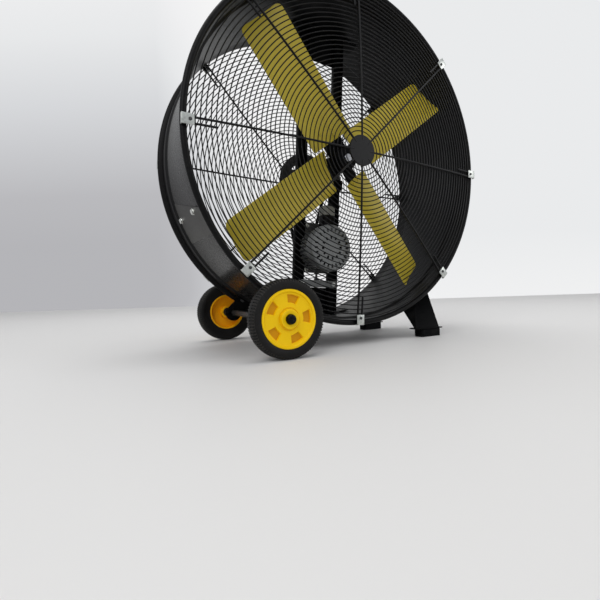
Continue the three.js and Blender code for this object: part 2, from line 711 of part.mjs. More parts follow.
// A cover with a rounded top that stands on the motor's fins.
function capacitorCover() {
  const height = CAPACITOR_RISE + MOTOR_R / 4; // reaches into the motor, which cuts its foot to shape
  const box = new THREE.ExtrudeGeometry(roundedBox(CAPACITOR_WIDTH, CAPACITOR_DEPTH, CAPACITOR_CORNER), {
    depth: height,
    bevelThickness: CAPACITOR_DOME,
    bevelSize: CAPACITOR_DOME,
    bevelOffset: -CAPACITOR_DOME,
    bevelSegments: 3,
    curveSegments: 5,
  });
  const [front, back] = [MOTOR_FRONT_Y + COWL_LAP, STRUT_FRONT_Y];
  const top = MOTOR_R + CAPACITOR_RISE;
  box.translate(CAPACITOR_X, (front + back) / 2, top - CAPACITOR_DOME - height);
  return cut(box, bar(MOTOR_R + CLEAR, front - 1, back + 1, 48));
}

function addMotor(parent) {
  const motor = new THREE.Group();
  motor.position.z = -MOTOR_DROP;
  parent.add(motor);
  piece("motor_body", motorBody(), greyPaint, motor);
  piece("motor_cowl", motorCowl(), greyPaint, motor);
  piece("motor_cooling_fan", motorFan(), blackPlastic, motor);
  piece("motor_end_bell", endBell(), greyPaint, motor);
  const shaftFront = MOTOR_FRONT_Y - MOTOR_FAN_GAP - MOTOR_FAN_DEPTH - 2 * CLEAR;
  const shaftBack = PULLEY_Y + PULLEY_WIDTH / 2 + MOTOR_SHAFT_STUB;
  piece("motor_shaft", bar(MOTOR_SHAFT_R, shaftFront, shaftBack, 16), steel, motor);
  piece("capacitor_cover", capacitorCover(), greyPlastic, motor);
  const drive = pulley(MOTOR_PULLEY_R, MOTOR_SHAFT_R + CLEAR, MOTOR_PULLEY_BOSS_R, 16);
  piece("motor_pulley", drive, castIron, motor).position.y = PULLEY_Y;
}

// ---------------------------------------------------------------- inner frame

// An upright channel, open to the front, cut to the curve of its feet at both ends.
function strut() {
  const [w, t] = [STRUT_WIDTH, STRUT_SHEET];
  const channel = outline([
    [0, 0],
    [t, 0],
    [t, STRUT_DEPTH - t],
    [w - t, STRUT_DEPTH - t],
    [w - t, 0],
    [w, 0],
    [w, STRUT_DEPTH],
    [0, STRUT_DEPTH],
  ]);
  const post = new THREE.ExtrudeGeometry(channel, { depth: 2 * WALL_IN_R, bevelEnabled: false });
  post.translate(0, STRUT_FRONT_Y, -WALL_IN_R);
  return post;
}

function addStruts(parent) {
  const ends = bar(STRUT_END_R, 0, HALF_DEPTH, 120);
  const left = strut().translate(-STRUT_OUTER_X, 0, 0);
  const right = strut().translate(STRUT_INNER_X, 0, 0);
  piece("strut_left", common(left, ends), blackPaint, parent);
  piece("strut_right", common(right, ends), blackPaint, parent);
  piece("strut_foot_bottom", strutFoot(), blackPaint, parent);
  piece("strut_foot_top", strutFoot(), blackPaint, parent).rotation.y = Math.PI;
}

// A curved flange on the drum's wall with an upright web behind the struts.
function strutFoot() {
  const down = -90 * DEG;
  const webBack = STRUT_FRONT_Y + STRUT_DEPTH + CLEAR + PLATE_SHEET;
  const [left, right] = [down - STRUT_FOOT_ANGLE, down + STRUT_FOOT_ANGLE];
  const strip = arcStrip(STRUT_END_R + CLEAR, WALL_SEAT_R, left, right);
  const flange = slab(strip, STRUT_FRONT_Y - STRUT_FOOT_FRONT, webBack + STRUT_FOOT_BACK, 6);
  const web = new THREE.Shape();
  const webR = STRUT_END_R + STRUT_FOOT_SHEET / 2;
  const reach = Math.asin(STRUT_OUTER_X / webR);
  web.absarc(0, 0, webR, down - reach, down + reach, false);
  web.lineTo(STRUT_OUTER_X, -CROSSBAR_TOP - CROSSBAR_HEIGHT);
  web.lineTo(-STRUT_OUTER_X, -CROSSBAR_TOP - CROSSBAR_HEIGHT);
  return join(flange, slab(web, webBack - PLATE_SHEET, webBack, 5));
}

function motorPlate() {
  const edge = STRUT_INNER_X - CLEAR;
  const shape = outline([
    [-edge, -MOTOR_PLATE_BOTTOM],
    [edge, -MOTOR_PLATE_BOTTOM],
    [edge, -MOTOR_PLATE_TOP],
    [-edge, -MOTOR_PLATE_TOP],
  ]);
  shape.holes.push(hole(0, -MOTOR_DROP, MOTOR_PLATE_HOLE_R));
  return slab(shape, STRUT_FRONT_Y, STRUT_FRONT_Y + PLATE_SHEET);
}

// A shallow channel across the front of the struts, below the motor.
function crossbar() {
  const back = STRUT_FRONT_Y - CLEAR;
  const front = back - CROSSBAR_DEPTH;
  const t = STRUT_SHEET;
  const [low, high] = [-CROSSBAR_TOP - CROSSBAR_HEIGHT, -CROSSBAR_TOP];
  const section = outline([
    [front, low],
    [back, low],
    [back, low + t],
    [front + t, low + t],
    [front + t, high - t],
    [back, high - t],
    [back, high],
    [front, high],
  ]);
  return rail(section, CROSSBAR_SHORT - STRUT_OUTER_X, STRUT_OUTER_X - CROSSBAR_SHORT);
}

// A channel with its flanges down, which passes between the struts and carries the bearings.
function bearingShelf() {
  const edge = STRUT_INNER_X - CLEAR;
  const [t, drop] = [PLATE_SHEET, SHELF_FLANGE];
  const section = outline([
    [-edge, SHELF_TOP],
    [-edge, SHELF_TOP - drop],
    [-edge + t, SHELF_TOP - drop],
    [-edge + t, SHELF_TOP - t],
    [edge - t, SHELF_TOP - t],
    [edge - t, SHELF_TOP - drop],
    [edge, SHELF_TOP - drop],
    [edge, SHELF_TOP],
  ]);
  const spare = BEARING_WIDTH / 2 + SHELF_SPARE;
  return slab(section, BEARING_YS[0] - spare, BEARING_YS[1] + spare);
}

function addFrame(parent) {
  addStruts(parent);
  piece("motor_plate", motorPlate(), blackPaint, parent);
  piece("crossbar", crossbar(), greyPaint, parent);
  piece("bearing_shelf", bearingShelf(), blackPaint, parent);
}

// ---------------------------------------------------------------- wheels

// A strip along the drum's edge band, between two angles.
function bandFlange(fromAngle, toAngle) {
  const seat = BAND_OUT_R + CLEAR;
  const strip = arcStrip(seat, seat + FLANGE_SHEET, fromAngle, toAngle);
  return slab(strip, BRACKET_OUT_Y - BRACKET_SHEET - BRACKET_FLANGE, BRACKET_OUT_Y - 1, 5);
}

// A plate from the drum's edge band down round the axle, with a flange along the band.
function axleBracket() {
  const seat = BAND_OUT_R + CLEAR;
  const [axleX, axleZ] = [AXLE_X, WHEEL_AXLE_Z];
  const [left, right] = [AXLE_ANGLE + BRACKET_FROM, AXLE_ANGLE + BRACKET_TO];
  const shape = new THREE.Shape();
  shape.absarc(0, 0, seat, left, right, false);
  shape.absarc(axleX, axleZ, BRACKET_EYE_R, -15 * DEG, -200 * DEG, true);
  shape.holes.push(hole(axleX, axleZ, AXLE_R + CLEAR));
  const plate = slab(shape, BRACKET_OUT_Y - BRACKET_SHEET, BRACKET_OUT_Y, 7);
  return join(plate, bandFlange(left - 2 * DEG, right + 2 * DEG));
}

// A moulded centre: lip, dished web with pockets, barrel for the tyre, and a long boss.
function wheelHub() {
  const half = TYRE_WIDTH / 2;
  const bore = AXLE_R + CLEAR;
  const body = turned(
    [
      [bore, -half - 1],
      [HUB_BOSS_R, -half - 1],
      [HUB_BOSS_R + 1, -half + 8],
      [HUB_LIP_R - 7, -half + 7],
      [HUB_LIP_R - 5, -half + 3],
      [HUB_LIP_R, -half + 3],
      [HUB_LIP_R, -half + 10],
      [HUB_BARREL_R, -half + 10],
      [HUB_BARREL_R, half - 3],
      [HUB_BARREL_R - 5, half - 3],
      [HUB_BARREL_R - 6, -half + 16],
      [HUB_BOSS_R - 4, -half + 16],
      [HUB_BOSS_R - 5, half],
      [bore, half],
    ],
    WHEEL_SIDES,
    HALF_FLAT,
  );
  const pockets = range(HUB_POCKETS).map((i) => {
    const middle = FIRST_POCKET_ANGLE + (i * 360 * DEG) / HUB_POCKETS;
    const [from, to] = [middle - HUB_POCKET_SWEEP / 2, middle + HUB_POCKET_SWEEP / 2];
    const shape = arcStrip(HUB_POCKET_INNER_R, HUB_POCKET_OUTER_R, from, to);
    return slab(shape, -half, -half + 8 + HUB_POCKET_DEPTH, 1);
  });
  return cut(body, ...pockets);
}

function tyre() {
  const half = TYRE_WIDTH / 2;
  const tread = WHEEL_R / Math.cos(HALF_FLAT); // the flats, not the corners, are at the wheel's radius
  const [seat, lip] = [HUB_BARREL_R + CLEAR, HUB_LIP_R + CLEAR];
  return turned(
    [
      [seat, half - 3],
      [seat, -half + 10 + CLEAR],
      [lip, -half + 10 + CLEAR],
      [lip, -half + 4],
      [lip + 9, -half],
      [tread - 5, -half + 2],
      [tread, -half + 10],
      [tread, half - 10],
      [tread - 5, half - 2],
      [lip + 9, half],
    ],
    WHEEL_SIDES,
    HALF_FLAT,
  );
}

function axle() {
  const inner = WHEEL_Y - TYRE_WIDTH / 2 - CLEAR;
  const end = WHEEL_Y + TYRE_WIDTH / 2 + 9;
  const collars = [-1, 1].map((side) => bar(AXLE_COLLAR_R, -2, 2, 12).translate(0, side * (inner - 2), 0));
  return join(bar(AXLE_R, -end, end, 12), ...collars);
}

// A pressed cap over the end of the axle.
function axleCap() {
  const face = TYRE_WIDTH / 2 + 1 + CLEAR;
  const end = TYRE_WIDTH / 2 + 9 + CLEAR;
  const bore = AXLE_R + CLEAR;
  const profile = [
    [bore, -face],
    [AXLE_CAP_R + 1, -face],
    [AXLE_CAP_R, -end],
    [AXLE_CAP_R - 5, -end - 3],
    [0, -end - 3],
    [0, -end],
    [bore, -end],
  ];
  return turned(profile, 12);
}

function addWheels(parent) {
  const running = new THREE.Group();
  running.position.set(AXLE_X, 0, WHEEL_R);
  parent.add(running);
  piece("wheel_axle", axle(), steel, running);
  for (const [word, side] of [["front", -1], ["back", 1]]) {
    const wheel = new THREE.Group();
    wheel.position.y = side * WHEEL_Y;
    wheel.rotation.z = side > 0 ? Math.PI : 0;
    running.add(wheel);
    piece(`wheel_hub_${word}`, wheelHub(), yellowPlastic, wheel);
    piece(`wheel_tyre_${word}`, tyre(), rubber, wheel);
    piece(`axle_cap_${word}`, axleCap(), blackPlastic, wheel);
  }
}

// ---------------------------------------------------------------- feet

// The leg's plate leans out from the drum to a flat foot plate.
function footBracket() {
  const seat = BAND_OUT_R + CLEAR;
  const top = -AXIS_Z + FOOT_HEIGHT + FOOT_PLATE_SHEET;
  const [left, right] = [LEG_TOP_LEFT_X, LEG_TOP_RIGHT_X].map((x) => -Math.acos(x / seat));
  const shape = new THREE.Shape();
  shape.absarc(0, 0, seat, left, right, false);
  shape.lineTo(FOOT_PLATE_RIGHT_X, top - 2);
  shape.lineTo(FOOT_PLATE_LEFT_X, top - 2);
  const leg = slab(shape, BRACKET_OUT_Y - BRACKET_SHEET, BRACKET_OUT_Y, 6);
  const reach = FOOT_DEPTH / 2 + 2;
  const low = -AXIS_Z + FOOT_HEIGHT + CLEAR;
  const sole = block([FOOT_PLATE_LEFT_X, FOOT_Y - reach, low], [FOOT_PLATE_RIGHT_X, FOOT_Y + reach, top]);
  return join(leg, bandFlange(left - 1 * DEG, right + 1 * DEG), sole);
}

function rubberFoot() {
  const length = FOOT_RIGHT_X - FOOT_LEFT_X;
  const options = { depth: FOOT_HEIGHT, bevelEnabled: false, curveSegments: 4 };
  const pad = new THREE.ExtrudeGeometry(roundedBox(length, FOOT_DEPTH, 8), options);
  return pad.translate((FOOT_LEFT_X + FOOT_RIGHT_X) / 2, 0, 0);
}

// The brackets of the front edge are those of the back edge in a mirror.
function mirroredY(geometry) {
  return geometryOf(solid(geometry.scale(1, -1, 1)));
}

function addBrackets(drumFrame, floorFrame) {
  piece("axle_bracket_front", mirroredY(axleBracket()), blackPaint, drumFrame);
  piece("axle_bracket_back", axleBracket(), blackPaint, drumFrame);
  piece("foot_bracket_front", mirroredY(footBracket()), blackPaint, drumFrame);
  piece("foot_bracket_back", footBracket(), blackPaint, drumFrame);
  piece("rubber_foot_front", rubberFoot(), rubber, floorFrame).position.y = -FOOT_Y;
  piece("rubber_foot_back", rubberFoot(), rubber, floorFrame).position.y = FOOT_Y;
}

// ---------------------------------------------------------------- handle and switch

// A bent tube that stands out from the drum's wall on two round flanges.
function handle() {
  const seat = WALL_OUT_R + CLEAR;
  const [far, side] = [HANDLE_OUT_X - HANDLE_R, HANDLE_SPAN / 2];
  const [bendX, bendY] = [far - HANDLE_BEND, side - HANDLE_BEND];
  const half = [[seat + 2, side]];
  for (const turn of [90, 60, 30, 0]) {
    const [outward, along] = towards(HANDLE_BEND, turn * DEG);
    half.push([bendX + outward, bendY + along]);
  }
  const otherHalf = half.map(([x, y]) => [x, -y]).reverse();
  const points = [...half, ...otherHalf].map(([x, y]) => new THREE.Vector3(x, y, 0));
  const flange = (y) => new THREE.CylinderGeometry(HANDLE_FLANGE_R, HANDLE_FLANGE_R, 4, 16)
    .rotateZ(Math.PI / 2)
    .translate(seat + 2, y, 0);
  return join(tube(points, HANDLE_R, 8), flange(-side), flange(side));
}

// A lidded box on the drum's wall; its foot follows the wall.
function switchBox() {
  const box = new THREE.ExtrudeGeometry(roundedBox(SWITCH_HEIGHT + 10, SWITCH_WIDTH, 8), {
    depth: SWITCH_LENGTH,
    bevelEnabled: false,
    curveSegments: 4,
  });
  box.rotateX(Math.PI / 2).translate(WALL_OUT_R + SWITCH_HEIGHT / 2 - 5, SWITCH_FRONT_Y + SWITCH_LENGTH, 0);
  return cut(box, bar(WALL_OUT_R + CLEAR, -HALF_DEPTH, HALF_DEPTH, 120));
}

// A round knob with a raised grip bar, facing the front.
function speedKnob() {
  const top = -KNOB_DEPTH + 2;
  const profile = [
    [0, 0],
    [KNOB_R + 3, 0],
    [KNOB_R + 2, -4],
    [KNOB_R - 2, -6],
    [KNOB_R - 4, top],
    [0, top],
  ];
  return join(turned(profile, 16), block([-4, -KNOB_DEPTH, -KNOB_R + 1], [4, -3, KNOB_R - 1]));
}

function cordGland() {
  const profile = [
    [GLAND_BORE_R, 0],
    [GLAND_R + 3, 0],
    [GLAND_R + 3, 7],
    [GLAND_R, 8],
    [GLAND_R - 3, GLAND_LENGTH],
    [GLAND_BORE_R, GLAND_LENGTH],
  ];
  return turned(profile, 12);
}

function addSwitch(parent) {
  const place = new THREE.Group();
  place.rotation.y = -SWITCH_ANGLE;
  parent.add(place);
  piece("switch_box", switchBox(), blackPlastic, place);
  const middle = WALL_OUT_R + SWITCH_HEIGHT / 2 + 6;
  piece("speed_knob", speedKnob(), blackPlastic, place).position.set(middle, SWITCH_FRONT_Y - CLEAR, 0);
  const back = SWITCH_FRONT_Y + SWITCH_LENGTH + CLEAR;
  piece("cord_gland", cordGland(), blackPlastic, place).position.set(middle - 4, back, 0);
}

// ---------------------------------------------------------------- the fan

// A frame turned about the fan shaft; a positive angle turns +X towards +Z.
function turnedFrame(parent, angle) {
  const frame = new THREE.Group();
  frame.rotation.y = -angle;
  parent.add(frame);
  return frame;
}

function drumFan() {
  const fan = new THREE.Group();
  const floorFrame = new THREE.Group();
  floorFrame.position.x = FAN_X;
  const drumFrame = new THREE.Group();
  drumFrame.position.set(FAN_X, 0, AXIS_Z);
  fan.add(floorFrame, drumFrame);

  piece("drum_shell", drumShell(), blackPaint, drumFrame);
  const frontGuard = turnedFrame(drumFrame, GRILLE_TURN);
  frontGuard.scale.y = -1;
  piece("front_grille", grille(FRONT_RINGS, FRONT_DISC_R), blackWire, frontGuard);
  addClips(frontGuard, "front");
  const backGuard = turnedFrame(drumFrame, GRILLE_TURN);
  piece("back_grille", grille(BACK_RINGS, BACK_DISC_R), blackWire, backGuard);
  addClips(backGuard, "back");
  addRotor(drumFrame);
  const innerFrame = turnedFrame(drumFrame, FRAME_TURN);
  addDrive(innerFrame);
  addMotor(innerFrame);
  addFrame(innerFrame);
  addWheels(floorFrame);
  addBrackets(drumFrame, floorFrame);
  piece("carry_handle", handle(), blackPaint, drumFrame);
  addSwitch(drumFrame);
  return fan;
}

export default drumFan();
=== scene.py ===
# %% [markdown]
# # A drum fan on wheels
# A big belt-driven fan: a rolled steel drum, a wire grille over each end, four yellow blades on a
# shaft, and a motor below it. It stands on two wheels and two rubber feet. The solids of the frame
# give every piece its place and size. This lesson gives each of them its real surface.

# %% Load the frame
from math import asin, atan2, cos, degrees, hypot, pi, radians, sin

import bmesh
import bpy
from mathutils import Matrix, Vector


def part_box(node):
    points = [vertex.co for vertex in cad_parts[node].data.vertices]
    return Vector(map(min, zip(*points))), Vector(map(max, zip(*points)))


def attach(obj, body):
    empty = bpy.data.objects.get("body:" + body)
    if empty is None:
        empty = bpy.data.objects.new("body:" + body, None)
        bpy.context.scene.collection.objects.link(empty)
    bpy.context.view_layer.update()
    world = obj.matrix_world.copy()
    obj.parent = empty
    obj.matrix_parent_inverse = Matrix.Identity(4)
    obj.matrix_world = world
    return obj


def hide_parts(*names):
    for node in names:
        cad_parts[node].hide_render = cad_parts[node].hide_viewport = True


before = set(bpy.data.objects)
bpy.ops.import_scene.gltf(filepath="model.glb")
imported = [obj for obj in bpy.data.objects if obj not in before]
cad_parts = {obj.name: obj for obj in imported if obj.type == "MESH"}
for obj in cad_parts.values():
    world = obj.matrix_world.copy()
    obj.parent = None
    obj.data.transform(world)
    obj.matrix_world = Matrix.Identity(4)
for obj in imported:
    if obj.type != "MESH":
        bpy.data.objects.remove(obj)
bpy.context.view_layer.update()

# %% [markdown]
# Everything round on this fan turns about a line along Y. The drum's own box gives the middle of
# the fan, its radius and its depth, so those four numbers are read from the frame and not typed.

# %% The fan's middle and its main sizes
MM = 0.001
FULL_TURN = 2 * pi
SIDES = (("front", -1), ("back", 1))
drum_low, drum_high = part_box("drum_shell")
AXIS = Vector(((drum_low.x + drum_high.x) / 2, 0, (drum_low.z + drum_high.z) / 2))
DRUM_R = (drum_high.x - drum_low.x) / 2
HALF_DEPTH = drum_high.y
shift = Matrix.Translation
AT_AXIS = shift(AXIS)
print("fan axis", tuple(round(v, 4) for v in AXIS), "drum radius", round(DRUM_R, 4))


def middle(node):
    low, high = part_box(node)
    return (low + high) / 2


def ends(node):
    """Where a node starts and where it ends along Y."""
    low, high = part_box(node)
    return low.y, high.y


def in_mm(points):
    return [(radius * MM, y * MM) for radius, y in points]


def polar(radius, angle):
    return radius * cos(angle), radius * sin(angle)


def about_y(point):
    """A point's radius, height and angle about the Y axis; the angle runs from 0 to a full turn."""
    return hypot(point.x, point.z), point.y, atan2(point.z, point.x) % FULL_TURN


def turned_to(angle):
    """Turns +X towards +Z by the angle, about the fan's shaft."""
    return Matrix.Rotation(-angle, 4, "Y")


def along_y(y):
    return shift((0, y, 0))


def swing(old, new):
    """The turn that brings one direction to another."""
    return Vector(old).rotation_difference(Vector(new)).to_matrix().to_4x4()


# %% [markdown]
# The inner frame isn't bolted in quite upright, and it carries the motor and the belt with it. The
# line from the fan's shaft down to the motor's shaft has that lean, so the turn is measured there.

# %% The turned inner frame
hang = middle("motor_shaft") - AXIS
MOTOR_DROP = hypot(hang.x, hang.z)
FRAME_TURN = atan2(hang.z, hang.x) + pi / 2
AT_FRAME = AT_AXIS @ turned_to(FRAME_TURN)
AT_MOTOR = AT_FRAME @ shift((0, 0, -MOTOR_DROP))
print("the inner frame leans", round(degrees(FRAME_TURN), 2), "degrees")

# %% [markdown]
# ## The camera
# The camera stands low, left of the fan's front, and close, with a wide lens. Its place and its
# turn were worked out from the wheels, the feet and the two rims of the drum in the photograph.
# A camera looks straight down at first. It is rolled, tipped up to the level and turned aside.

# %% Camera
CAMERA_AT = (-0.7538, -1.1224, 0.1753)
CAMERA_YAW = radians(28.326)
CAMERA_PITCH = radians(-1.623)
CAMERA_ROLL = radians(-1.818)
FOCAL_PX = 386.69
IMAGE_PX = 600
SENSOR_MM = 36


def add_object(name, data):
    made = bpy.data.objects.new(name, data)
    bpy.context.scene.collection.objects.link(made)
    return made


camera = add_object("camera", bpy.data.cameras.new("camera"))
camera.data.sensor_width = SENSOR_MM
camera.data.lens = FOCAL_PX / IMAGE_PX * SENSOR_MM
aside = Matrix.Rotation(-CAMERA_YAW, 4, "Z")
tipped = Matrix.Rotation(pi / 2 + CAMERA_PITCH, 4, "X")
camera.matrix_world = shift(CAMERA_AT) @ aside @ tipped @ Matrix.Rotation(CAMERA_ROLL, 4, "Z")
bpy.context.scene.camera = camera
print("lens", round(camera.data.lens, 1), "mm")

# %% [markdown]
# ## Finishes
# Real paint, plastic and rubber are never one flat colour. Two effects are shared by all of them: a
# fine grain in the surface, and a mottling of dust and handling marks. Each is a node group with its
# own inputs. The shader stays in each material, with its plain numbers typed on its own sockets.

# %% Tools for node groups


def new_group(name, inputs, outputs):
    """A shader group with the named sockets, then its input and output nodes."""
    group = bpy.data.node_groups.new(name, "ShaderNodeTree")
    for socket, kind, value in inputs:
        made = group.interface.new_socket(socket, in_out="INPUT", socket_type=kind)
        made.default_value = value
    for socket, kind in outputs:
        group.interface.new_socket(socket, in_out="OUTPUT", socket_type=kind)
    return group, group.nodes.new("NodeGroupInput"), group.nodes.new("NodeGroupOutput")


def add_node(tree, kind, values=(), **settings):
    """A node with its settings and with values on its input sockets."""
    node = tree.nodes.new("ShaderNode" + kind)
    for name, value in settings.items():
        setattr(node, name, value)
    for socket, value in dict(values).items():
        node.inputs[socket].default_value = value
    return node


def connect(tree, links):
    """Each link is a node and its output, then a node and its input."""
    for source, output, target, entry in links:
        tree.links.new(source.outputs[output], target.inputs[entry])


# %% [markdown]
# Powder coat has a faint orange-peel grain, and moulded plastic and rubber a finer one. A noise
# texture in object space drives a bump node; its scale is in waves per metre.

# %% Grain group
FLOAT, COLOR, VECTOR = "NodeSocketFloat", "NodeSocketColor", "NodeSocketVector"
GRAIN_HEIGHT = 0.4 * MM
inputs = [("Scale", FLOAT, 900), ("Depth", FLOAT, 0.1)]
GRAIN, given, out = new_group("grain", inputs, [("Normal", VECTOR)])
coords = add_node(GRAIN, "TexCoord")
noise = add_node(GRAIN, "TexNoise", {"Detail": 2.0, "Roughness": 0.5})
bump = add_node(GRAIN, "Bump", {"Distance": GRAIN_HEIGHT})
connect(GRAIN, [
    (coords, "Object", noise, "Vector"), (given, "Scale", noise, "Scale"),
    (noise, "Fac", bump, "Height"), (given, "Depth", bump, "Strength"),
    (bump, "Normal", out, "Normal")])
print("group", GRAIN.name)

# %% [markdown]
# Dust settles in soft patches, and hands leave duller ones. Two noises of different size are
# multiplied into a mask. The mask mixes the dust colour in and lifts the roughness.

# %% Mottle group
inputs = [("Color", COLOR, (0.1, 0.1, 0.1, 1)), ("Dust", COLOR, (0.3, 0.29, 0.27, 1)),
          ("Amount", FLOAT, 0.2), ("Roughness", FLOAT, 0.4), ("Spread", FLOAT, 0.15),
          ("Scale", FLOAT, 6)]
MOTTLE, given, out = new_group("mottle", inputs, [("Color", COLOR), ("Roughness", FLOAT)])
coords = add_node(MOTTLE, "TexCoord")
broad = add_node(MOTTLE, "TexNoise", {"Detail": 4.0, "Roughness": 0.6})
fine = add_node(MOTTLE, "TexNoise", {"Scale": 140.0, "Detail": 3.0})
mask = add_node(MOTTLE, "Math", operation="MULTIPLY")
curve = add_node(MOTTLE, "MapRange", {"From Min": 0.2, "From Max": 0.45})
share = add_node(MOTTLE, "Math", operation="MULTIPLY")
mix = add_node(MOTTLE, "Mix", data_type="RGBA")
lift = add_node(MOTTLE, "Math", operation="MULTIPLY_ADD")
connect(MOTTLE, [
    (coords, "Object", broad, "Vector"), (given, "Scale", broad, "Scale"),
    (coords, "Object", fine, "Vector"), (broad, "Fac", mask, 0), (fine, "Fac", mask, 1),
    (mask, 0, curve, "Value"), (curve, "Result", share, 0), (given, "Amount", share, 1),
    (share, 0, mix, "Factor"), (given, "Color", mix, "A"), (given, "Dust", mix, "B"),
    (curve, "Result", lift, 0), (given, "Spread", lift, 1), (given, "Roughness", lift, 2),
    (mix, "Result", out, "Color"), (lift, 0, out, "Roughness")])
print("group", MOTTLE.name)

# %% [markdown]
# A finish is one call: colour, gloss, dust and grain. The record's slot rides along with the
# material, so a piece that takes the material also takes the slot.

# %% Finish materials
ROLLED = {"grain": 700, "depth": 0.2}
TYRE = {"grain": 1600, "depth": 0.25, "specular": 0.2}
PLATED = {"metal": 1.0, "grain": 300, "depth": 0.12}
TURNED = {"metal": 1.0, "grain": 500, "dust": 0.2, "scale": 40}
finishes = {}


def finish(name, slot, color, rough, dust=0.15, spread=0.12, scale=6, grain=900, depth=0.1,
           metal=0.0, specular=0.5, dust_color=(0.34, 0.32, 0.29)):
    material = bpy.data.materials.new(name)
    material.use_nodes = True
    tree = material.node_tree
    shader = tree.nodes["Principled BSDF"]
    shader.inputs["Metallic"].default_value = metal
    shader.inputs["Specular IOR Level"].default_value = specular
    values = {"Color": (*color, 1), "Dust": (*dust_color, 1), "Amount": dust, "Roughness": rough,
              "Spread": spread, "Scale": scale}
    mottle = add_node(tree, "Group", values, node_tree=MOTTLE)
    grained = add_node(tree, "Group", {"Scale": grain, "Depth": depth}, node_tree=GRAIN)
    connect(tree, [
        (mottle, "Color", shader, "Base Color"), (mottle, "Roughness", shader, "Roughness"),
        (grained, "Normal", shader, "Normal")])
    material["slot"] = slot
    finishes[name] = material


finish("drum_paint", "black_paint", (0.014, 0.0137, 0.0133), 0.26, dust=0.04, spread=0.08,
       grain=700, depth=0.12, specular=0.10)
# A darker copy of the drum's black paint: painted shade on the drum's inner faces.
finish("inside_paint", "black_paint", (0.003, 0.0035, 0.0042), 0.36, dust=0.02, specular=0.13,
       **ROLLED)
# A still darker copy of the black paint: painted shade on the drum's stepped bands and beads, and on
# the strip that stands for the lap's slot.
finish("band_paint", "black_paint", (0.002, 0.002, 0.0023), 0.40, dust=0.02, specular=0.12,
       **ROLLED)
finish("lap_paint", "black_paint", (0.019, 0.0185, 0.0158), 0.36, dust=0.05, specular=0.26,
       **ROLLED)
finish("frame_paint", "black_paint", (0.002, 0.0022, 0.0025), 0.42, dust=0.015, scale=12,
       specular=0.05)
finish("plate_paint", "black_paint", (0.040, 0.041, 0.040), 0.42, dust=0.10, scale=12,
       specular=0.3)
finish("wire_paint", "black_wire", (0.003, 0.003, 0.0034), 0.42, dust=0.02, scale=14, specular=0.2)
finish("blade_paint", "yellow_paint", (0.57, 0.45, 0.035), 0.32, dust=0.24, scale=9, depth=0.12,
       dust_color=(0.40, 0.27, 0.05))
finish("hub_plastic", "yellow_plastic", (0.88, 0.56, 0.001), 0.38, dust=0.04, scale=16, grain=1400,
       depth=0.05, specular=0.18, dust_color=(0.80, 0.48, 0.01))
# A deeper orange copy of the hub's plastic: painted shade on the pocket floors.
finish("pocket_plastic", "yellow_plastic", (0.62, 0.28, 0.001), 0.45, dust=0.08, scale=40,
       grain=1400, depth=0.06, specular=0.15, dust_color=(0.80, 0.44, 0.01))
# An orange copy of the hub's plastic: painted warm shade on the hub's inner side.
finish("hub_inside", "yellow_plastic", (0.95, 0.45, 0.001), 0.45, dust=0.08, scale=30, grain=1400,
       depth=0.06, specular=0.2, dust_color=(0.90, 0.50, 0.01))
finish("tyre_rubber", "tyre_rubber", (0.005, 0.0047, 0.0044), 0.54, dust=0.05, scale=22,
       dust_color=(0.12, 0.10, 0.09), **TYRE)
finish("tread_rubber", "tyre_rubber", (0.017, 0.0165, 0.0155), 0.60, dust=0.25, scale=90,
       dust_color=(0.16, 0.14, 0.12), **TYRE)
finish("foot_rubber", "black_rubber", (0.002, 0.0023, 0.0027), 0.62, dust=0.03, scale=20,
       grain=1500, depth=0.2, specular=0.05)
finish("motor_paint", "motor_paint", (0.19, 0.198, 0.197), 0.34, scale=18)
finish("cover_plastic", "grey_plastic", (0.32, 0.32, 0.29), 0.42, scale=30, grain=1400)
finish("plastic", "black_plastic", (0.004, 0.004, 0.0045), 0.36, dust=0.02, scale=20, grain=1600,
       specular=0.15)
finish("cap_plastic", "black_plastic", (0.001, 0.001, 0.0012), 0.24, dust=0.02, scale=60,
       grain=1600, specular=0.14)
finish("iron_paint", "cast_iron", (0.028, 0.029, 0.031), 0.5, dust=0.12, scale=30, grain=450,
       depth=0.5, specular=0.35)
finish("zinc", "zinc", (0.72, 0.73, 0.70), 0.26, dust=0.18, scale=60,
       dust_color=(0.36, 0.36, 0.33), **PLATED)
finish("clip_zinc", "zinc", (0.56, 0.58, 0.55), 0.32, dust=0.5, scale=70,
       dust_color=(0.16, 0.17, 0.16), **PLATED)
finish("steel", "bright_steel", (0.42, 0.43, 0.45), 0.28, dust_color=(0.20, 0.18, 0.16), **TURNED)
finish("axle_steel", "bright_steel", (0.10, 0.095, 0.09), 0.34, dust_color=(0.06, 0.05, 0.04),
       **TURNED)
print(len(finishes), "finishes")

# %% [markdown]
# ## Modelling tools
# Four small tools make nearly every piece. `spun` turns a profile about the Y axis, as a lathe or
# a roller would. `wire` carries a circle along a path, as bent rod. `eased` rounds the sharp edges,
# because no real edge is perfectly sharp. `dressed` takes a solid of the frame whose form is right
# and gives it such edges.

# %% Spin, wire and bevel tools
VERT, EDGE = bmesh.types.BMVert, bmesh.types.BMEdge


def only(kind, items):
    return [item for item in items if isinstance(item, kind)]


def outward(bm):
    """Turns every face outwards."""
    bmesh.ops.recalc_face_normals(bm, faces=bm.faces)
    return bm


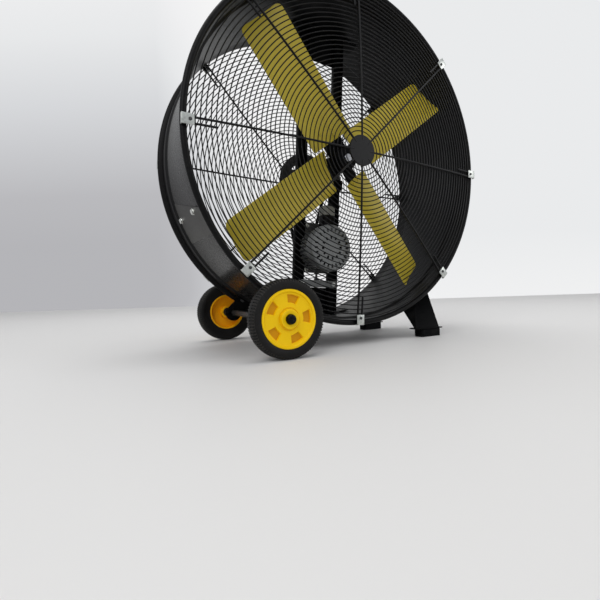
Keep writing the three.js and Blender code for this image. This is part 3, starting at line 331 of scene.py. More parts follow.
def spun(profile, steps, closed=True):
    """A profile of (radius, y) points, spun once round the Y axis."""
    bm = bmesh.new()
    verts = [bm.verts.new((radius, y, 0)) for radius, y in profile]
    pairs = list(zip(verts, verts[1:])) + ([(verts[-1], verts[0])] if closed else [])
    edges = [bm.edges.new(pair) for pair in pairs]
    bmesh.ops.spin(bm, geom=verts + edges, cent=(0, 0, 0), axis=(0, 1, 0), angle=FULL_TURN,
                   steps=steps, use_merge=True)
    bmesh.ops.remove_doubles(bm, verts=bm.verts, dist=0.001 * MM)
    return outward(bm)


def mirrored(half):
    """A section and its mirror image across the middle plane."""
    return half + [(radius, -y) for radius, y in reversed(half)]


def chamfered(outer, half, chamfer, bore=0):
    """The section of a turned bar, or of a boss round a bore, with chamfered ends."""
    return mirrored([(bore, -half), (outer - chamfer, -half), (outer, -half + chamfer)])


def extruded(bm, edges):
    """Extrudes a line of edges; returns the points and the edges of the new line."""
    made = bmesh.ops.extrude_edge_only(bm, edges=edges)["geom"]
    verts = only(VERT, made)
    return verts, [edge for edge in only(EDGE, made) if all(vert in verts for vert in edge.verts)]


def wire(points, radius, sides=8):
    """A round bar through the points: a circle, extruded from each to the next and turned halfway."""
    bm = bmesh.new()
    path = [Vector(point) for point in points]
    runs = [(b - a).normalized() for a, b in zip(path, path[1:])]
    turns = [runs[0]] + [(a + b).normalized() for a, b in zip(runs, runs[1:])] + [runs[-1]]
    bmesh.ops.create_circle(bm, cap_ends=False, segments=sides, radius=radius,
                            matrix=shift(path[0]) @ swing((0, 0, 1), turns[0]))
    loop = list(bm.edges)
    for before, here, turn_a, turn_b in zip(path, path[1:], turns, turns[1:]):
        verts, loop = extruded(bm, loop)
        move = shift(here) @ swing(turn_a, turn_b) @ shift(-before)
        bmesh.ops.transform(bm, matrix=move, verts=verts)
    bmesh.ops.holes_fill(bm, edges=bm.edges, sides=sides)
    return outward(bm)


def eased(bm, width, segments=2, above=35):
    """Rounds every edge that is sharper than so many degrees."""
    sharp = [edge for edge in bm.edges
             if len(edge.link_faces) == 2 and edge.calc_face_angle() > radians(above)]
    bmesh.ops.bevel(bm, geom=sharp, offset=width, offset_type="OFFSET", segments=segments, profile=0.5,
                    affect="EDGES", clamp_overlap=True, material=-1)
    bmesh.ops.remove_doubles(bm, verts=bm.verts, dist=0.02 * MM)
    bmesh.ops.dissolve_degenerate(bm, edges=bm.edges, dist=0.02 * MM)
    return bm


def sliced(bm, place, normal, **settings):
    """Cuts every face that a plane crosses."""
    return bmesh.ops.bisect_plane(bm, geom=bm.verts[:] + bm.edges[:] + bm.faces[:], plane_co=place,
                                  plane_no=normal, **settings)


def merged(*parts):
    """Several meshes in one; the first takes the others in."""
    first = parts[0]
    for part in parts[1:]:
        spare = bpy.data.meshes.new("spare")
        part.to_mesh(spare)
        part.free()
        first.from_mesh(spare)
        bpy.data.meshes.remove(spare)
    return first


def placed(bm, matrix):
    bmesh.ops.transform(bm, matrix=matrix, verts=bm.verts)
    if matrix.determinant() < 0:
        bmesh.ops.reverse_faces(bm, faces=bm.faces)
    return bm


def faces_where(bm, rule):
    """The faces whose middle fits a rule of radius, height and angle about the Y axis."""
    return [face for face in bm.faces if rule(*about_y(face.calc_center_median()))]


# %% [markdown]
# A mesh becomes a piece of the fan when it gets its finish, its body and the solids that it stands
# for. Where the solid's own form is right, a copy of it is the mesh to start from.

# %% Finished pieces


def piece(bm, name, coats, nodes="", body="root", smooth=30):
    """Makes a piece of a mesh; two strings name its finishes and the solids it stands for."""
    mesh = bpy.data.meshes.new(name)
    bm.to_mesh(mesh)
    bm.free()
    for coat in coats.split():
        mesh.materials.append(finishes[coat])
    mesh.shade_smooth()
    mesh.set_sharp_from_angle(angle=radians(smooth))
    made = add_object(name, mesh)
    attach(made, body)
    if nodes:
        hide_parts(*nodes.split())
    print(f"{name}: {len(mesh.polygons)} faces on {body}")


def copied(node, whole=True):
    """The solid of a node as a mesh; `whole` joins the triangles of its flat faces again."""
    bm = bmesh.new()
    bm.from_mesh(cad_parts[node].data)
    bmesh.ops.remove_doubles(bm, verts=bm.verts, dist=0.01 * MM)
    if whole:
        bmesh.ops.dissolve_limit(bm, angle_limit=radians(1), verts=bm.verts, edges=bm.edges)
    return bm


def dressed(node, coat, width, body="root"):
    bm = copied(node, whole=width > 0)
    if width:
        eased(bm, width)
    piece(bm, node + "_made", coat, node, body)


# %% [markdown]
# Bolts hold nearly everything here, so one tool makes a hexagon head with a chamfer on a washer.
# A layer of it has a number of sides, two radii and two heights, in shares of the bolt's size. Most
# bolts of one body and finish are gathered in one mesh and become one piece.

# %% Bolt tool
BOLT_SIZE = 7 * MM
HEAD_R = 0.92
BOLT_LAYERS = [(24, 1.05, 1.05, 0, 0.16), (6, HEAD_R, HEAD_R, 0.14, 0.62),
               (6, HEAD_R * 0.985, HEAD_R * 0.82, 0.60, 0.74)]


def add_cone(bm, place, sides, low_r, high_r, low, high):
    """A closed cone or bar along a place's Z, from one height to another."""
    matrix = place @ shift((0, 0, (low + high) / 2))
    bmesh.ops.create_cone(bm, cap_ends=True, segments=sides, radius1=low_r, radius2=high_r,
                          depth=high - low, matrix=matrix)


def add_bolt(bm, at, along, size=BOLT_SIZE):
    """A washer, a hexagon and its chamfer; `along` points out of the surface."""
    place = shift(at) @ swing((0, 0, 1), along)
    for sides, *shares in BOLT_LAYERS:
        add_cone(bm, place, sides, *[size * share for share in shares])


root_bolts = bmesh.new()
fan_bolts = bmesh.new()

# %% [markdown]
# ## The drum
# One steel sheet is rolled into a hoop. A wide band at each edge is stepped out, and the very edge
# is curled into a bead that stiffens it and keeps it safe to touch. A spun profile is exactly how a
# roller forms it, so the section is drawn once and turned.

# %% Drum shell
BEAD_R = 8.5 * MM
SHEET = 2.5 * MM
STEP = [(0, -3), (0.8, 0), (5.7, 6), (6.5, 9)]
BEAD_Y = HALF_DEPTH - BEAD_R
BEAD_RING_R = DRUM_R - BEAD_R
BAND_IN_R = DRUM_R - 2 * BEAD_R
WALL_IN_R = BAND_IN_R - STEP[-1][0] * MM
WALL_OUT_R = WALL_IN_R + SHEET
STEP_Y = BEAD_Y - 55 * MM
DRUM_STEPS = 240


def drum_half():
    """The section from the bead's foot round the bead to the step, outer side first."""
    inside = [(WALL_IN_R + rise, STEP_Y + along) for rise, along in in_mm(STEP)]
    bead = []
    for turn in range(180, -61, -15):
        across, out = polar(BEAD_R, radians(turn))
        bead.append((BEAD_RING_R + across, BEAD_Y + out))
    outside = [(radius + SHEET, y) for radius, y in reversed(inside)]
    return inside + bead + [(BAND_IN_R + SHEET, BEAD_Y - BEAD_R * 1.1)] + outside


bm = spun(mirrored(drum_half()), DRUM_STEPS)
# The bands and beads are a real step in the sheet, but their darker paint is painted shade.
for face in bm.faces:
    at = face.calc_center_median()
    # Faces turned inwards take the darker inside paint, which is painted shade.
    shaded_inside = at.x * face.normal.x + at.z * face.normal.z < 0
    face.material_index = 1 if abs(at.y) > STEP_Y - 2 * MM else 2 * shaded_inside
piece(placed(bm, AT_AXIS), "drum", "drum_paint band_paint inside_paint", "drum_shell")

# %% [markdown]
# The sheet's two ends lap over each other low on the left side. The upper end lies on top, cut on
# a slant, and two bolts clamp it. It is a piece of the same cylinder, so its section is spun
# through the lap's angle only, and one slanted plane trims its edge. A punched slot beside the
# front bolt is not cut: a thin strip of that cylinder in the darkest black lies on the wall as
# painted shade where the slot's opening shows dark.

# %% The lap of the sheet
LAP_SHEET = 1.2 * MM
LAP_R = WALL_OUT_R + 0.2 * MM
LAP_EDGE = (radians(-165.2), radians(-158.6))
LAP_START, LAP_END = LAP_EDGE[0] - radians(3), radians(-150)
LAP_HALF = STEP_Y - 5 * MM
LAP_BOLT_ANGLE = radians(-158.7)
LAP_BOLTS = (-51 * MM, 99 * MM)
SLOT_RADII = (WALL_OUT_R + 0.1 * MM, WALL_OUT_R + 0.5 * MM)
SLOT_HEIGHTS = (-91 * MM, -87 * MM)
SLOT_START, SLOT_SWEEP = radians(-159.8), radians(3.4)


def wall_strip(radii, heights, start, sweep, steps):
    """A strip on the drum's wall: an oblong section, spun through a part of a turn."""
    bm = bmesh.new()
    (low_r, high_r), (low_y, high_y) = radii, heights
    corners = [(low_r, low_y), (high_r, low_y), (high_r, high_y), (low_r, high_y)]
    verts = [bm.verts.new((radius, y, 0)) for radius, y in corners]
    section = bm.faces.new(verts)
    bmesh.ops.rotate(bm, verts=verts, cent=(0, 0, 0), matrix=Matrix.Rotation(-start, 3, "Y"))
    bmesh.ops.spin(bm, geom=[section], cent=(0, 0, 0), axis=(0, -1, 0), angle=sweep, steps=steps)
    return outward(bm)


radii, sweep = (LAP_R, LAP_R + LAP_SHEET), LAP_END - LAP_START
bm = wall_strip(radii, (-LAP_HALF, LAP_HALF), LAP_START, sweep, 24)
(back_x, back_z), (front_x, front_z) = [polar(WALL_OUT_R, angle) for angle in LAP_EDGE]
back = Vector((back_x, LAP_HALF, back_z))
along = Vector((front_x, -LAP_HALF, front_z)) - back
normal = Vector((back_x, 0, back_z)).cross(along)
cut = sliced(bm, back, normal, clear_outer=True)
bmesh.ops.holes_fill(bm, edges=only(EDGE, cut["geom_cut"]), sides=0)
# The slot is a strip of painted shade, not an opening.
slot = wall_strip(SLOT_RADII, SLOT_HEIGHTS, SLOT_START, SLOT_SWEEP, 6)
piece(placed(bm, AT_AXIS), "drum_lap", "lap_paint")
piece(placed(slot, AT_AXIS), "lap_slot_shade", "band_paint")
x, z = polar(WALL_OUT_R + LAP_SHEET, LAP_BOLT_ANGLE)
for y in LAP_BOLTS:
    add_bolt(root_bolts, AXIS + Vector((x, y, z)), (x, 0, z), 9 * MM)

# %% [markdown]
# ## The grilles
# Each guard is a dish of rings, less than a finger apart, welded behind eight stouter spoke wires.
# At the rim a spoke turns back on itself, and a zinc clip holds that hairpin on the bead. The first
# clip's place gives the turn of the spokes.

# %% Grille sizes
GAP = 0.3 * MM
SPOKE_R = 3 * MM
RING_R = 1.6 * MM
RING_PITCH = 12.9 * MM
HOOP_R = 493 * MM
SPOKES = 8
SPOKE_START_R = 30 * MM
SPOKE_END_R = BEAD_RING_R - 7.5 * MM
SPOKE_REACH = SPOKE_END_R - SPOKE_START_R
FACE_Y = HALF_DEPTH + GAP + SPOKE_R
DOME = 22 * MM
HAIRPIN = 15 * MM
HAIRPIN_LEG = 72 * MM
clip_r, _, clip_angle = about_y(middle("front_clip_1") - AXIS)
GRILLE_TURN = clip_angle - asin(HAIRPIN / 2 / clip_r)


def dome_y(radius):
    return FACE_Y + DOME * max(0, 1 - (radius / SPOKE_END_R) ** 2)


print("the dish stands", round(-ends("front_grille")[0] - HALF_DEPTH, 4), "m proud of the drum")
print("its spokes are turned by", round(degrees(GRILLE_TURN), 2), "degrees")

# %% [markdown]
# A ring is a small section spun once. A spoke is a wire along its path. A disc closes the middle.
# The back guard is made facing backwards, and the front one is the same dish, mirrored.

# %% Grille pieces
SPOKE_STEPS = 14
RING_STEPS = 120
DISC_SINK = 1 * MM
FLIP_Y = Matrix.Scale(-1, 4, (0, 1, 0))


def ring(radius):
    """One closed ring of wire, lying against the spokes from inside."""
    ring_y = dome_y(radius) - SPOKE_R - RING_R + GAP
    section = [polar(RING_R, radians(turn)) for turn in range(0, 360, 60)]
    return spun([(radius + out, ring_y + along) for out, along in section], RING_STEPS)


def spoke_path():
    """From the centre disc out over the dish, round the hairpin and a little way back."""
    reach = [SPOKE_START_R + SPOKE_REACH * i / SPOKE_STEPS for i in range(SPOKE_STEPS + 1)]
    path = [Vector((radius, dome_y(radius), 0)) for radius in reach]
    for turn in range(-60, 91, 30):
        out, across = polar(HAIRPIN / 2, radians(turn))
        path.append(Vector((SPOKE_END_R + out, FACE_Y, HAIRPIN / 2 + across)))
    for back in (0.3, 0.65, 1):
        radius = SPOKE_END_R - back * HAIRPIN_LEG
        path.append(Vector((radius, dome_y(radius), HAIRPIN)))
    return path


def at_spoke(i):
    return turned_to(GRILLE_TURN + FULL_TURN * i / SPOKES)


def grille(disc_r, first_r, side):
    count = round((HOOP_R - first_r) / RING_PITCH)
    parts = [ring(first_r + (HOOP_R - first_r) * i / count) for i in range(count + 1)]
    parts += [placed(wire(spoke_path(), SPOKE_R), at_spoke(i)) for i in range(SPOKES)]
    low, high = dome_y(0) - SPOKE_R - DISC_SINK, dome_y(0) + SPOKE_R - DISC_SINK
    rim = disc_r * 0.985
    edge = [(rim, low), (disc_r, low + 1 * MM), (disc_r, high - 1.5 * MM), (rim, high)]
    parts.append(spun([(0, low), *edge, (0, high)], 64, closed=False))
    return placed(merged(*parts), AT_AXIS @ (FLIP_Y if side < 0 else Matrix.Identity(4)))


piece(grille(45 * MM, 58 * MM, -1), "front_guard", "wire_paint", "front_grille", smooth=50)
piece(grille(60 * MM, 74 * MM, 1), "back_guard", "wire_paint", "back_grille", smooth=50)

# %% [markdown]
# A clip is a strip of zinc-plated steel bent over the bead, with one bolt between the hairpin's two
# wires. A clip could be folded from a new strip, but the frame's solids already have that form, so
# copies of them get rounded edges, and a bolt each.

# %% Clips
CLIP_SEAT = Vector((SPOKE_END_R - 6 * MM, FACE_Y + SPOKE_R + 2.3 * MM, HAIRPIN / 2))

for word, side in SIDES:
    nodes = [f"{word}_clip_{i + 1}" for i in range(SPOKES)]
    bm = eased(merged(*[copied(node) for node in nodes]), 0.7 * MM)
    strips = set(bm.faces)
    for i in range(SPOKES):
        at = at_spoke(i) @ CLIP_SEAT
        add_bolt(bm, AXIS + Vector((at.x, side * at.y, at.z)), (0, side, 0), 5 * MM)
    for face in bm.faces:
        face.material_index = int(face not in strips)
    piece(bm, f"{word}_clips", "clip_zinc iron_paint", " ".join(nodes))

# %% [markdown]
# ## Blades and spider
# A blade is a flat blank with round corners that a press has curved. It is made the same way here:
# the outline is a face, cut into strips, and each point is then rolled onto a cylinder whose axis
# runs out along the blade. Its thickness and rounded edges are made before that roll.

# %% Blade sizes
BLADES = 4
BLADE_PITCH = radians(21.35)
CAMBER_R = 260 * MM
BLADE_CHORD = 137 * MM
BLADE_SHEET = 2.5 * MM
BLADE_ROOT = (66 * MM, 5 * MM)
BLADE_TIP = (WALL_IN_R - 35 * MM, 18 * MM)
FIRST_BLADE = radians(-143.65)
BLADE_Y = 74 * MM - HALF_DEPTH
AT_BLADES = AT_AXIS @ along_y(BLADE_Y)
SLICES = 16
print("the blades turn at y", round(BLADE_Y, 4))
print("the spider's middle is at", round(middle("blade_spider").y, 4))

# %% [markdown]
# The same tool makes the spider's arms, so it takes the front face's place on the curve. Each end
# is a radius and the rounding of its corners.

# %% Rolled sheets


def strip(root, tip, half, thickness, front):
    """A curved strip between a root and a tip."""
    bm = bmesh.new()
    outline = [(root[0], -half), (tip[0], -half), (tip[0], half), (root[0], half)]
    bm.faces.new([bm.verts.new((x, 0, z)) for x, z in outline])
    for radius, corner in (root, tip):
        corners = [vert for vert in bm.verts if abs(vert.co.x - radius) < 0.01 * MM]
        bmesh.ops.bevel(bm, geom=corners, offset=corner, offset_type="OFFSET", segments=6, profile=0.5,
                        affect="VERTICES", material=-1)
    for i in range(1, SLICES):
        sliced(bm, (0, 0, -half + 2 * half * i / SLICES), (0, 0, 1))
    made = bmesh.ops.extrude_face_region(bm, geom=bm.faces[:])["geom"]
    bmesh.ops.translate(bm, verts=only(VERT, made), vec=(0, thickness, 0))
    eased(outward(bm), 0.6 * MM, above=60)
    for vert in bm.verts:
        out, across = polar(CAMBER_R + front + vert.co.y, vert.co.z / (CAMBER_R + front))
        vert.co.y = out - CAMBER_R
        vert.co.z = across
    return bm


def at_blade(i):
    return AT_BLADES @ turned_to(FIRST_BLADE + i * pi / 2) @ Matrix.Rotation(-BLADE_PITCH, 4, "X")


for i in range(BLADES):
    blade = strip(BLADE_ROOT, BLADE_TIP, BLADE_CHORD / 2, BLADE_SHEET, 0)
    piece(placed(blade, at_blade(i)), f"blade_{i + 1}", "blade_paint", f"fan_blade_{i + 1}", "fan")

# %% [markdown]
# Behind the blades sits the spider: a boss clamped on the shaft, and four arms. Each arm is pressed
# to its blade's own curve. Four bolts hold a blade to its arm, and they are painted over with it.

# %% Spider
SHAFT_R = 12.5 * MM
BORE_R = SHAFT_R + GAP
ARM_ROOT = (25 * MM, 10 * MM)
ARM_TIP = (128 * MM, 10 * MM)
ARM_HALF = 31 * MM
ARM_SHEET = 5 * MM
BOSS_R = 34 * MM
BOSS_HALF = 26 * MM
ARM_BOLTS = [(radius * MM, across * MM) for radius in (80, 104) for across in (-18, 18)]

parts = [placed(spun(chamfered(BOSS_R, BOSS_HALF, 2.5 * MM, BORE_R), 64), AT_BLADES)]
for i in range(BLADES):
    arm = strip(ARM_ROOT, ARM_TIP, ARM_HALF, ARM_SHEET, BLADE_SHEET + GAP)
    parts.append(placed(arm, at_blade(i)))
    for radius, across in ARM_BOLTS:
        out, along = polar(1, across / CAMBER_R)
        seat = at_blade(i) @ Vector((radius, CAMBER_R * out - CAMBER_R, CAMBER_R * along))
        add_bolt(fan_bolts, seat, at_blade(i).to_3x3() @ Vector((0, -out, -along)), 6 * MM)
piece(merged(*parts), "spider", "frame_paint", "blade_spider", "fan")

# %% [markdown]
# ## Shaft, bearings and belt drive
# The shaft is ground steel with chamfered ends. It runs in two pillow blocks. A big grooved pulley on
# its back end is driven by a V-belt from a small one on the motor.

# %% Shaft


def turned_bar(node, radius, chamfer=1.5 * MM, steps=48):
    """A turned bar in the place of a node that lies along Y."""
    front, back = ends(node)
    profile = chamfered(radius, (back - front) / 2, chamfer)
    return placed(spun(profile, steps, closed=False), shift(middle(node)))


piece(turned_bar("fan_shaft", SHAFT_R), "shaft", "steel", "fan_shaft", "fan")

# %% [markdown]
# A pillow block is a cast housing with two feet, and a bolt through each foot. The casting's soft
# edges come from a wider bevel. The bearing's seal stands in it as a thin turned boss.

# %% Pillow blocks
SEAL_R = 22 * MM
SEAL_BORE_R = SHAFT_R + 0.4 * MM
BLOCK_BOLT_X, BLOCK_BOLT_Z = 39 * MM, -21.4 * MM


def frame_bolt(x, y, z, along, size=BOLT_SIZE):
    """A bolt in the inner frame's own turned place."""
    add_bolt(root_bolts, AT_FRAME @ Vector((x, y, z)), AT_FRAME.to_3x3() @ Vector(along), size)


for word, _ in SIDES:
    node = f"bearing_block_{word}"
    front, back = ends(node)
    y, half = (front + back) / 2, (back - front) / 2
    block = eased(copied(node), 2 * MM, segments=3, above=25)
    seal = spun(chamfered(SEAL_R, half - GAP, 1 * MM, SEAL_BORE_R), 48)
    for side in (-1, 1):
        frame_bolt(side * BLOCK_BOLT_X, y, BLOCK_BOLT_Z, (0, 0, 1), 8 * MM)
    block = merged(block, placed(seal, AT_FRAME @ along_y(y)))
    piece(block, f"pillow_block_{word}", "iron_paint", node)

# %% [markdown]
# A pulley is turned on a lathe, so its section is spun: boss, web, rim and V-groove. The big one has
# five lightening holes. Their faces are taken out of the web on both sides, and the two openings of
# each hole are joined by a wall.

# %% Pulleys
PULLEY_R = 98 * MM
SMALL_PULLEY_R = 30 * MM
PULLEY_HALF = 10 * MM
GROOVE = 11 * MM
RIM_IN_R = PULLEY_R - GROOVE - 5 * MM
WEB_HALF = 3 * MM
PULLEY_BOSS_R = 26 * MM
PULLEY_STEPS = 80
HOLES = 5
HOLE_SHARE = FULL_TURN / HOLES
HOLE_START = radians(31)
HOLE_IN_R, HOLE_OUT_R = 38 * MM, 66 * MM
MOTOR_BORE_R = 8.3 * MM
pulley_y = middle("fan_pulley").y


def pulley_profile(radius, bore, web=()):
    """A grooved rim round a bore; `web` holds the section's points between them."""
    edge = [(radius - 1 * MM, PULLEY_HALF), (radius, PULLEY_HALF - 1 * MM), (radius, 7 * MM),
            (radius - GROOVE, 4.6 * MM)]
    return mirrored([(bore, PULLEY_HALF), *web, *edge])


def in_hole(radius, y, angle):
    on_web = HOLE_IN_R < radius < HOLE_OUT_R and abs(y) < WEB_HALF + 1 * MM
    return on_web and angle % HOLE_SHARE > HOLE_START


def hole_of(edge):
    """The number of the hole that an edge of the big pulley lies at."""
    _, _, angle = about_y((edge.verts[0].co + edge.verts[1].co) / 2)
    return (angle - HOLE_START / 2) % FULL_TURN // HOLE_SHARE


web = [(PULLEY_BOSS_R, PULLEY_HALF), (PULLEY_BOSS_R + 1 * MM, WEB_HALF), (HOLE_IN_R, WEB_HALF),
       (HOLE_OUT_R, WEB_HALF), (RIM_IN_R - 2 * MM, WEB_HALF), (RIM_IN_R, PULLEY_HALF)]
bm = spun(pulley_profile(PULLEY_R, BORE_R, web), PULLEY_STEPS)
bmesh.ops.delete(bm, geom=faces_where(bm, in_hole), context="FACES")
for i in range(HOLES):
    rims = [edge for edge in bm.edges if edge.is_boundary and hole_of(edge) == i]
    bmesh.ops.bridge_loops(bm, edges=rims)
big = placed(outward(bm), AT_AXIS @ along_y(pulley_y))
piece(big, "big_pulley", "iron_paint", "fan_pulley", "fan")
small = placed(spun(pulley_profile(SMALL_PULLEY_R, MOTOR_BORE_R), 48), AT_MOTOR @ along_y(pulley_y))
piece(small, "small_pulley", "iron_paint", "motor_pulley", "motor_rotor")

# %% [markdown]
# The V-belt is one closed loop: two arcs round the pulleys and two straight runs that touch both.
# Its section is carried from station to station, and the last loop is bridged to the first.

# %% Drive belt
BELT_SINK = 1.5 * MM
BELT_SECTION = [(0, -6), (0.6, -5.4), (0.6, 5.4), (0, 6), (-7.6, 4), (-7.6, -4)]


def belt_stations():
    """The places of the section, once round both pulleys."""
    lean = asin((PULLEY_R - SMALL_PULLEY_R) / MOTOR_DROP)
    first, last = -lean, pi + lean
    arcs = [(48, first, last, PULLEY_R - BELT_SINK, 0),
            (20, last, first + FULL_TURN, SMALL_PULLEY_R - BELT_SINK, -MOTOR_DROP)]
    for count, start, end, radius, rise in arcs:
        for i in range(count + 1):
            turn = turned_to(start + (end - start) * i / count)
            yield shift((0, 0, rise)) @ turn @ shift((radius, 0, 0))


bm = bmesh.new()
stations = list(belt_stations())
verts = [bm.verts.new((out, y, 0)) for out, y in in_mm(BELT_SECTION)]
first = loop = [bm.edges.new(pair) for pair in zip(verts, verts[1:] + verts[:1])]
bmesh.ops.transform(bm, matrix=stations[0], verts=verts)
for before, here in zip(stations, stations[1:]):
    verts, loop = extruded(bm, loop)
    bmesh.ops.transform(bm, matrix=here @ before.inverted(), verts=verts)
bmesh.ops.bridge_loops(bm, edges=first + loop)
piece(placed(outward(bm), AT_FRAME @ along_y(pulley_y)), "belt", "foot_rubber", "drive_belt")

# %% [markdown]
# ## The motor
# The motor is a finned cylinder. A pressed cowl covers the small fan on its front end, and rings of
# slots in the cowl let the air in. The cowl is spun as a thin face, the slots are taken out of it,
# and only then does the sheet get its thickness, so every slot has a true edge.

# %% Motor cowl
COWL_R = 77.5 * MM
COWL_CORNER = 10 * MM
COWL_STEPS = 120
SLOT_RINGS = [(29 * MM, 39 * MM, 12), (53 * MM, 66 * MM, 24)]
SLOT_SHARE = 0.4
cowl_front, cowl_back = ends("motor_cowl")


def in_slot(radius, y, angle):
    """Each ring has two radii and a count of slots; a share of its turn is open."""
    return y < cowl_front + 1 * MM and any(
        low < radius < high and angle / FULL_TURN * count % 1 < SLOT_SHARE
        for low, high, count in SLOT_RINGS)


profile = [(0, cowl_front)] + [(radius, cowl_front) for slots in SLOT_RINGS for radius in slots[:2]]
for turn in range(90, -1, -18):
    out, along = polar(COWL_CORNER, radians(turn))
    profile.append((COWL_R - COWL_CORNER + out, cowl_front + COWL_CORNER - along))
profile += [(COWL_R, cowl_back - 3 * MM), (COWL_R, cowl_back)]
bm = spun(profile, COWL_STEPS, closed=False)
bmesh.ops.delete(bm, geom=faces_where(bm, in_slot), context="FACES")
bmesh.ops.solidify(bm, geom=bm.faces[:], thickness=1.8 * MM)
piece(placed(outward(bm), AT_MOTOR), "cowl", "motor_paint", "motor_cowl")

# %% [markdown]
# The barrel is spun with four faces to each fin. Two of the four are extruded and pushed out to the
# fins' radius, which leaves the deep grooves of a cast motor between them.

# %% Motor body
FIN_FACES = 4
FIN_STEPS = 32 * FIN_FACES
FIN_R = 70 * MM
RIM_R = 74.5 * MM
CORE_R = 64 * MM
RIM_WIDTH = 13 * MM
body_front, body_back = ends("motor_body")


def on_fin(radius, y, angle):
    on_core = body_front + RIM_WIDTH < y < body_back - 1 * MM and abs(radius - CORE_R) < 0.5 * MM
    return on_core and int(angle / FULL_TURN * FIN_STEPS) % FIN_FACES < 2


rim_back, bore = body_front + RIM_WIDTH, 8.5 * MM
bm = spun([(bore, body_front), (RIM_R, body_front), (RIM_R, rim_back), (CORE_R, rim_back + 0.5 * MM),
           (CORE_R, body_back - 6 * MM), (CORE_R, body_back), (bore, body_back)], FIN_STEPS)
fins = faces_where(bm, on_fin)
made = bmesh.ops.extrude_face_region(bm, geom=fins)["geom"]
for vert in only(VERT, made):
    grow = FIN_R / hypot(vert.co.x, vert.co.z)
    vert.co.x *= grow
    vert.co.z *= grow
bmesh.ops.delete(bm, geom=fins, context="FACES")
piece(placed(outward(bm), AT_MOTOR), "motor_barrel", "motor_paint", "motor_body")

# %% [markdown]
# The end bell is a turned casting that tapers to the bearing's nose. The rotor's shaft is a bar, and
# the cooling fan behind the cowl keeps the form of its solid.

# %% End bell, rotor and cooling fan
BELL_R, NOSE_R = 46 * MM, 24 * MM
TAPER_START, TAPER_END = 28 * MM, 8 * MM

front, back = ends("motor_end_bell")
start, end = back - TAPER_START, back - TAPER_END
profile = [(MOTOR_BORE_R, front), (BELL_R, front), (BELL_R, start - 4 * MM), (BELL_R - 1 * MM, start),
           (NOSE_R + 3 * MM, end - 1 * MM), (NOSE_R, end + 1 * MM), (NOSE_R, back - 1 * MM),
           (NOSE_R - 1 * MM, back), (MOTOR_BORE_R, back)]
piece(placed(spun(profile, 64), AT_MOTOR), "end_bell", "motor_paint", "motor_end_bell")
rotor_shaft = turned_bar("motor_shaft", 8 * MM, 1 * MM, 32)
piece(rotor_shaft, "rotor_shaft", "steel", "motor_shaft", "motor_rotor")
dressed("motor_cooling_fan", "plastic", 0.4 * MM, "motor_rotor")

# %% [markdown]
# The motor's capacitor stands in a box on its fins. The box's top takes a pale grey finish and the
# column below it a darker one.
# A plane across the solid gives a clean seam, and the faces below it take the second finish.

# %% Capacitor cover
CAP_HEIGHT = 34 * MM

bm = eased(copied("capacitor_cover"), 1.5 * MM, segments=3, above=50)
upwards = AT_FRAME.to_3x3() @ Vector((0, 0, 1))
seam = middle("capacitor_cover")
seam.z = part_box("capacitor_cover")[1].z - CAP_HEIGHT
sliced(bm, seam, upwards)
for face in bm.faces:
    face.material_index = int((face.calc_center_median() - seam).dot(upwards) < 0)
piece(bm, "capacitor_lid", "cover_plastic plastic", "capacitor_cover")

# %% [markdown]
# ## The inner frame
# Two folded channels stand from the bottom of the drum to its top. A plate between them carries the
# motor, a short shelf carries the bearings, and a shallow grey channel ties them below the motor.
# Their solids are right in form, so each keeps its form and gets rounded folds and edges.

# %% Struts, plates and shelf
FOLD = 0.9 * MM
for node in ("strut_left", "strut_right", "bearing_shelf", "strut_foot_bottom", "strut_foot_top"):
    dressed(node, "frame_paint", FOLD)
dressed("motor_plate", "plate_paint", FOLD)
dressed("crossbar", "motor_paint", FOLD)

FRAME_BOLTS = [("motor_plate", x, z) for x in (-42, 42) for z in (-186, -338)]
FRAME_BOLTS += [("crossbar", x, -385) for x in (-62, 62)]
for node, x, z in FRAME_BOLTS:
    frame_bolt(x * MM, ends(node)[0], z * MM, (0, -1, 0))

# %% [markdown]
# The belt is pulled tight by a screw between the crossbar and the motor's plate. A plain rod with
# two nuts is enough for it: the thread is finer than a picture from this distance shows.

# %% Belt tension screw
SCREW_R = 4 * MM
NUT_R = 2 * SCREW_R
SCREW_X = -4 * MM
SCREW_PARTS = [(24, SCREW_R, -390, -344), (6, NUT_R, -372.6, -366), (6, NUT_R, -353, -346)]

bm = bmesh.new()
place = AT_FRAME @ shift((SCREW_X, middle("crossbar").y + 2 * MM, 0))
for sides, radius, low, high in SCREW_PARTS:
    add_cone(bm, place, sides, radius, radius, low * MM, high * MM)
piece(eased(bm, 0.5 * MM, above=70), "tension_screw", "iron_paint")

# %% [markdown]
# ## The wheels
# The centre is one plastic moulding: a lip, a flat web with five tapered pockets, and a boss with a
# groove round it. The whole wheel is spun. Then the web's faces inside each pocket's angle are
# inset and sunk, so the pocket keeps sloping sides as a moulding needs. The first pocket is made
# along +X, in step with the spin, and the finished wheel is turned to where its pockets are.

# %% Wheel centre
WHEEL_STEPS = 80
POCKET_SHARE = FULL_TURN / 5
FIRST_POCKET = radians(76)
POCKET_SWEEP = radians(33)
POCKET_IN_R, POCKET_OUT_R = 39.5 * MM, 64 * MM
POCKET_DEPTH = 5 * MM
WEB_Y = -14.4 * MM
SHADED_INSIDE_Y = -8 * MM
HUB_OUTSIDE = [(10.4, -22), (12.6, -23), (23.4, -23), (24.6, -22.2), (25.2, -12.6), (28.4, -12.6),
               (29.4, -14.6), (39.5, -14.4), (64, -14.4), (66.6, -15.2), (68.2, -18), (69.2, -19),
               (74, -19), (75, -18)]
HUB_INSIDE = [(75, -12), (61.3, -12), (61.3, 18.4), (60.7, 19), (56.6, 19), (56, 18), (55.3, -6),
              (21.5, -6), (20, 21), (19, 22), (10.4, 22)]


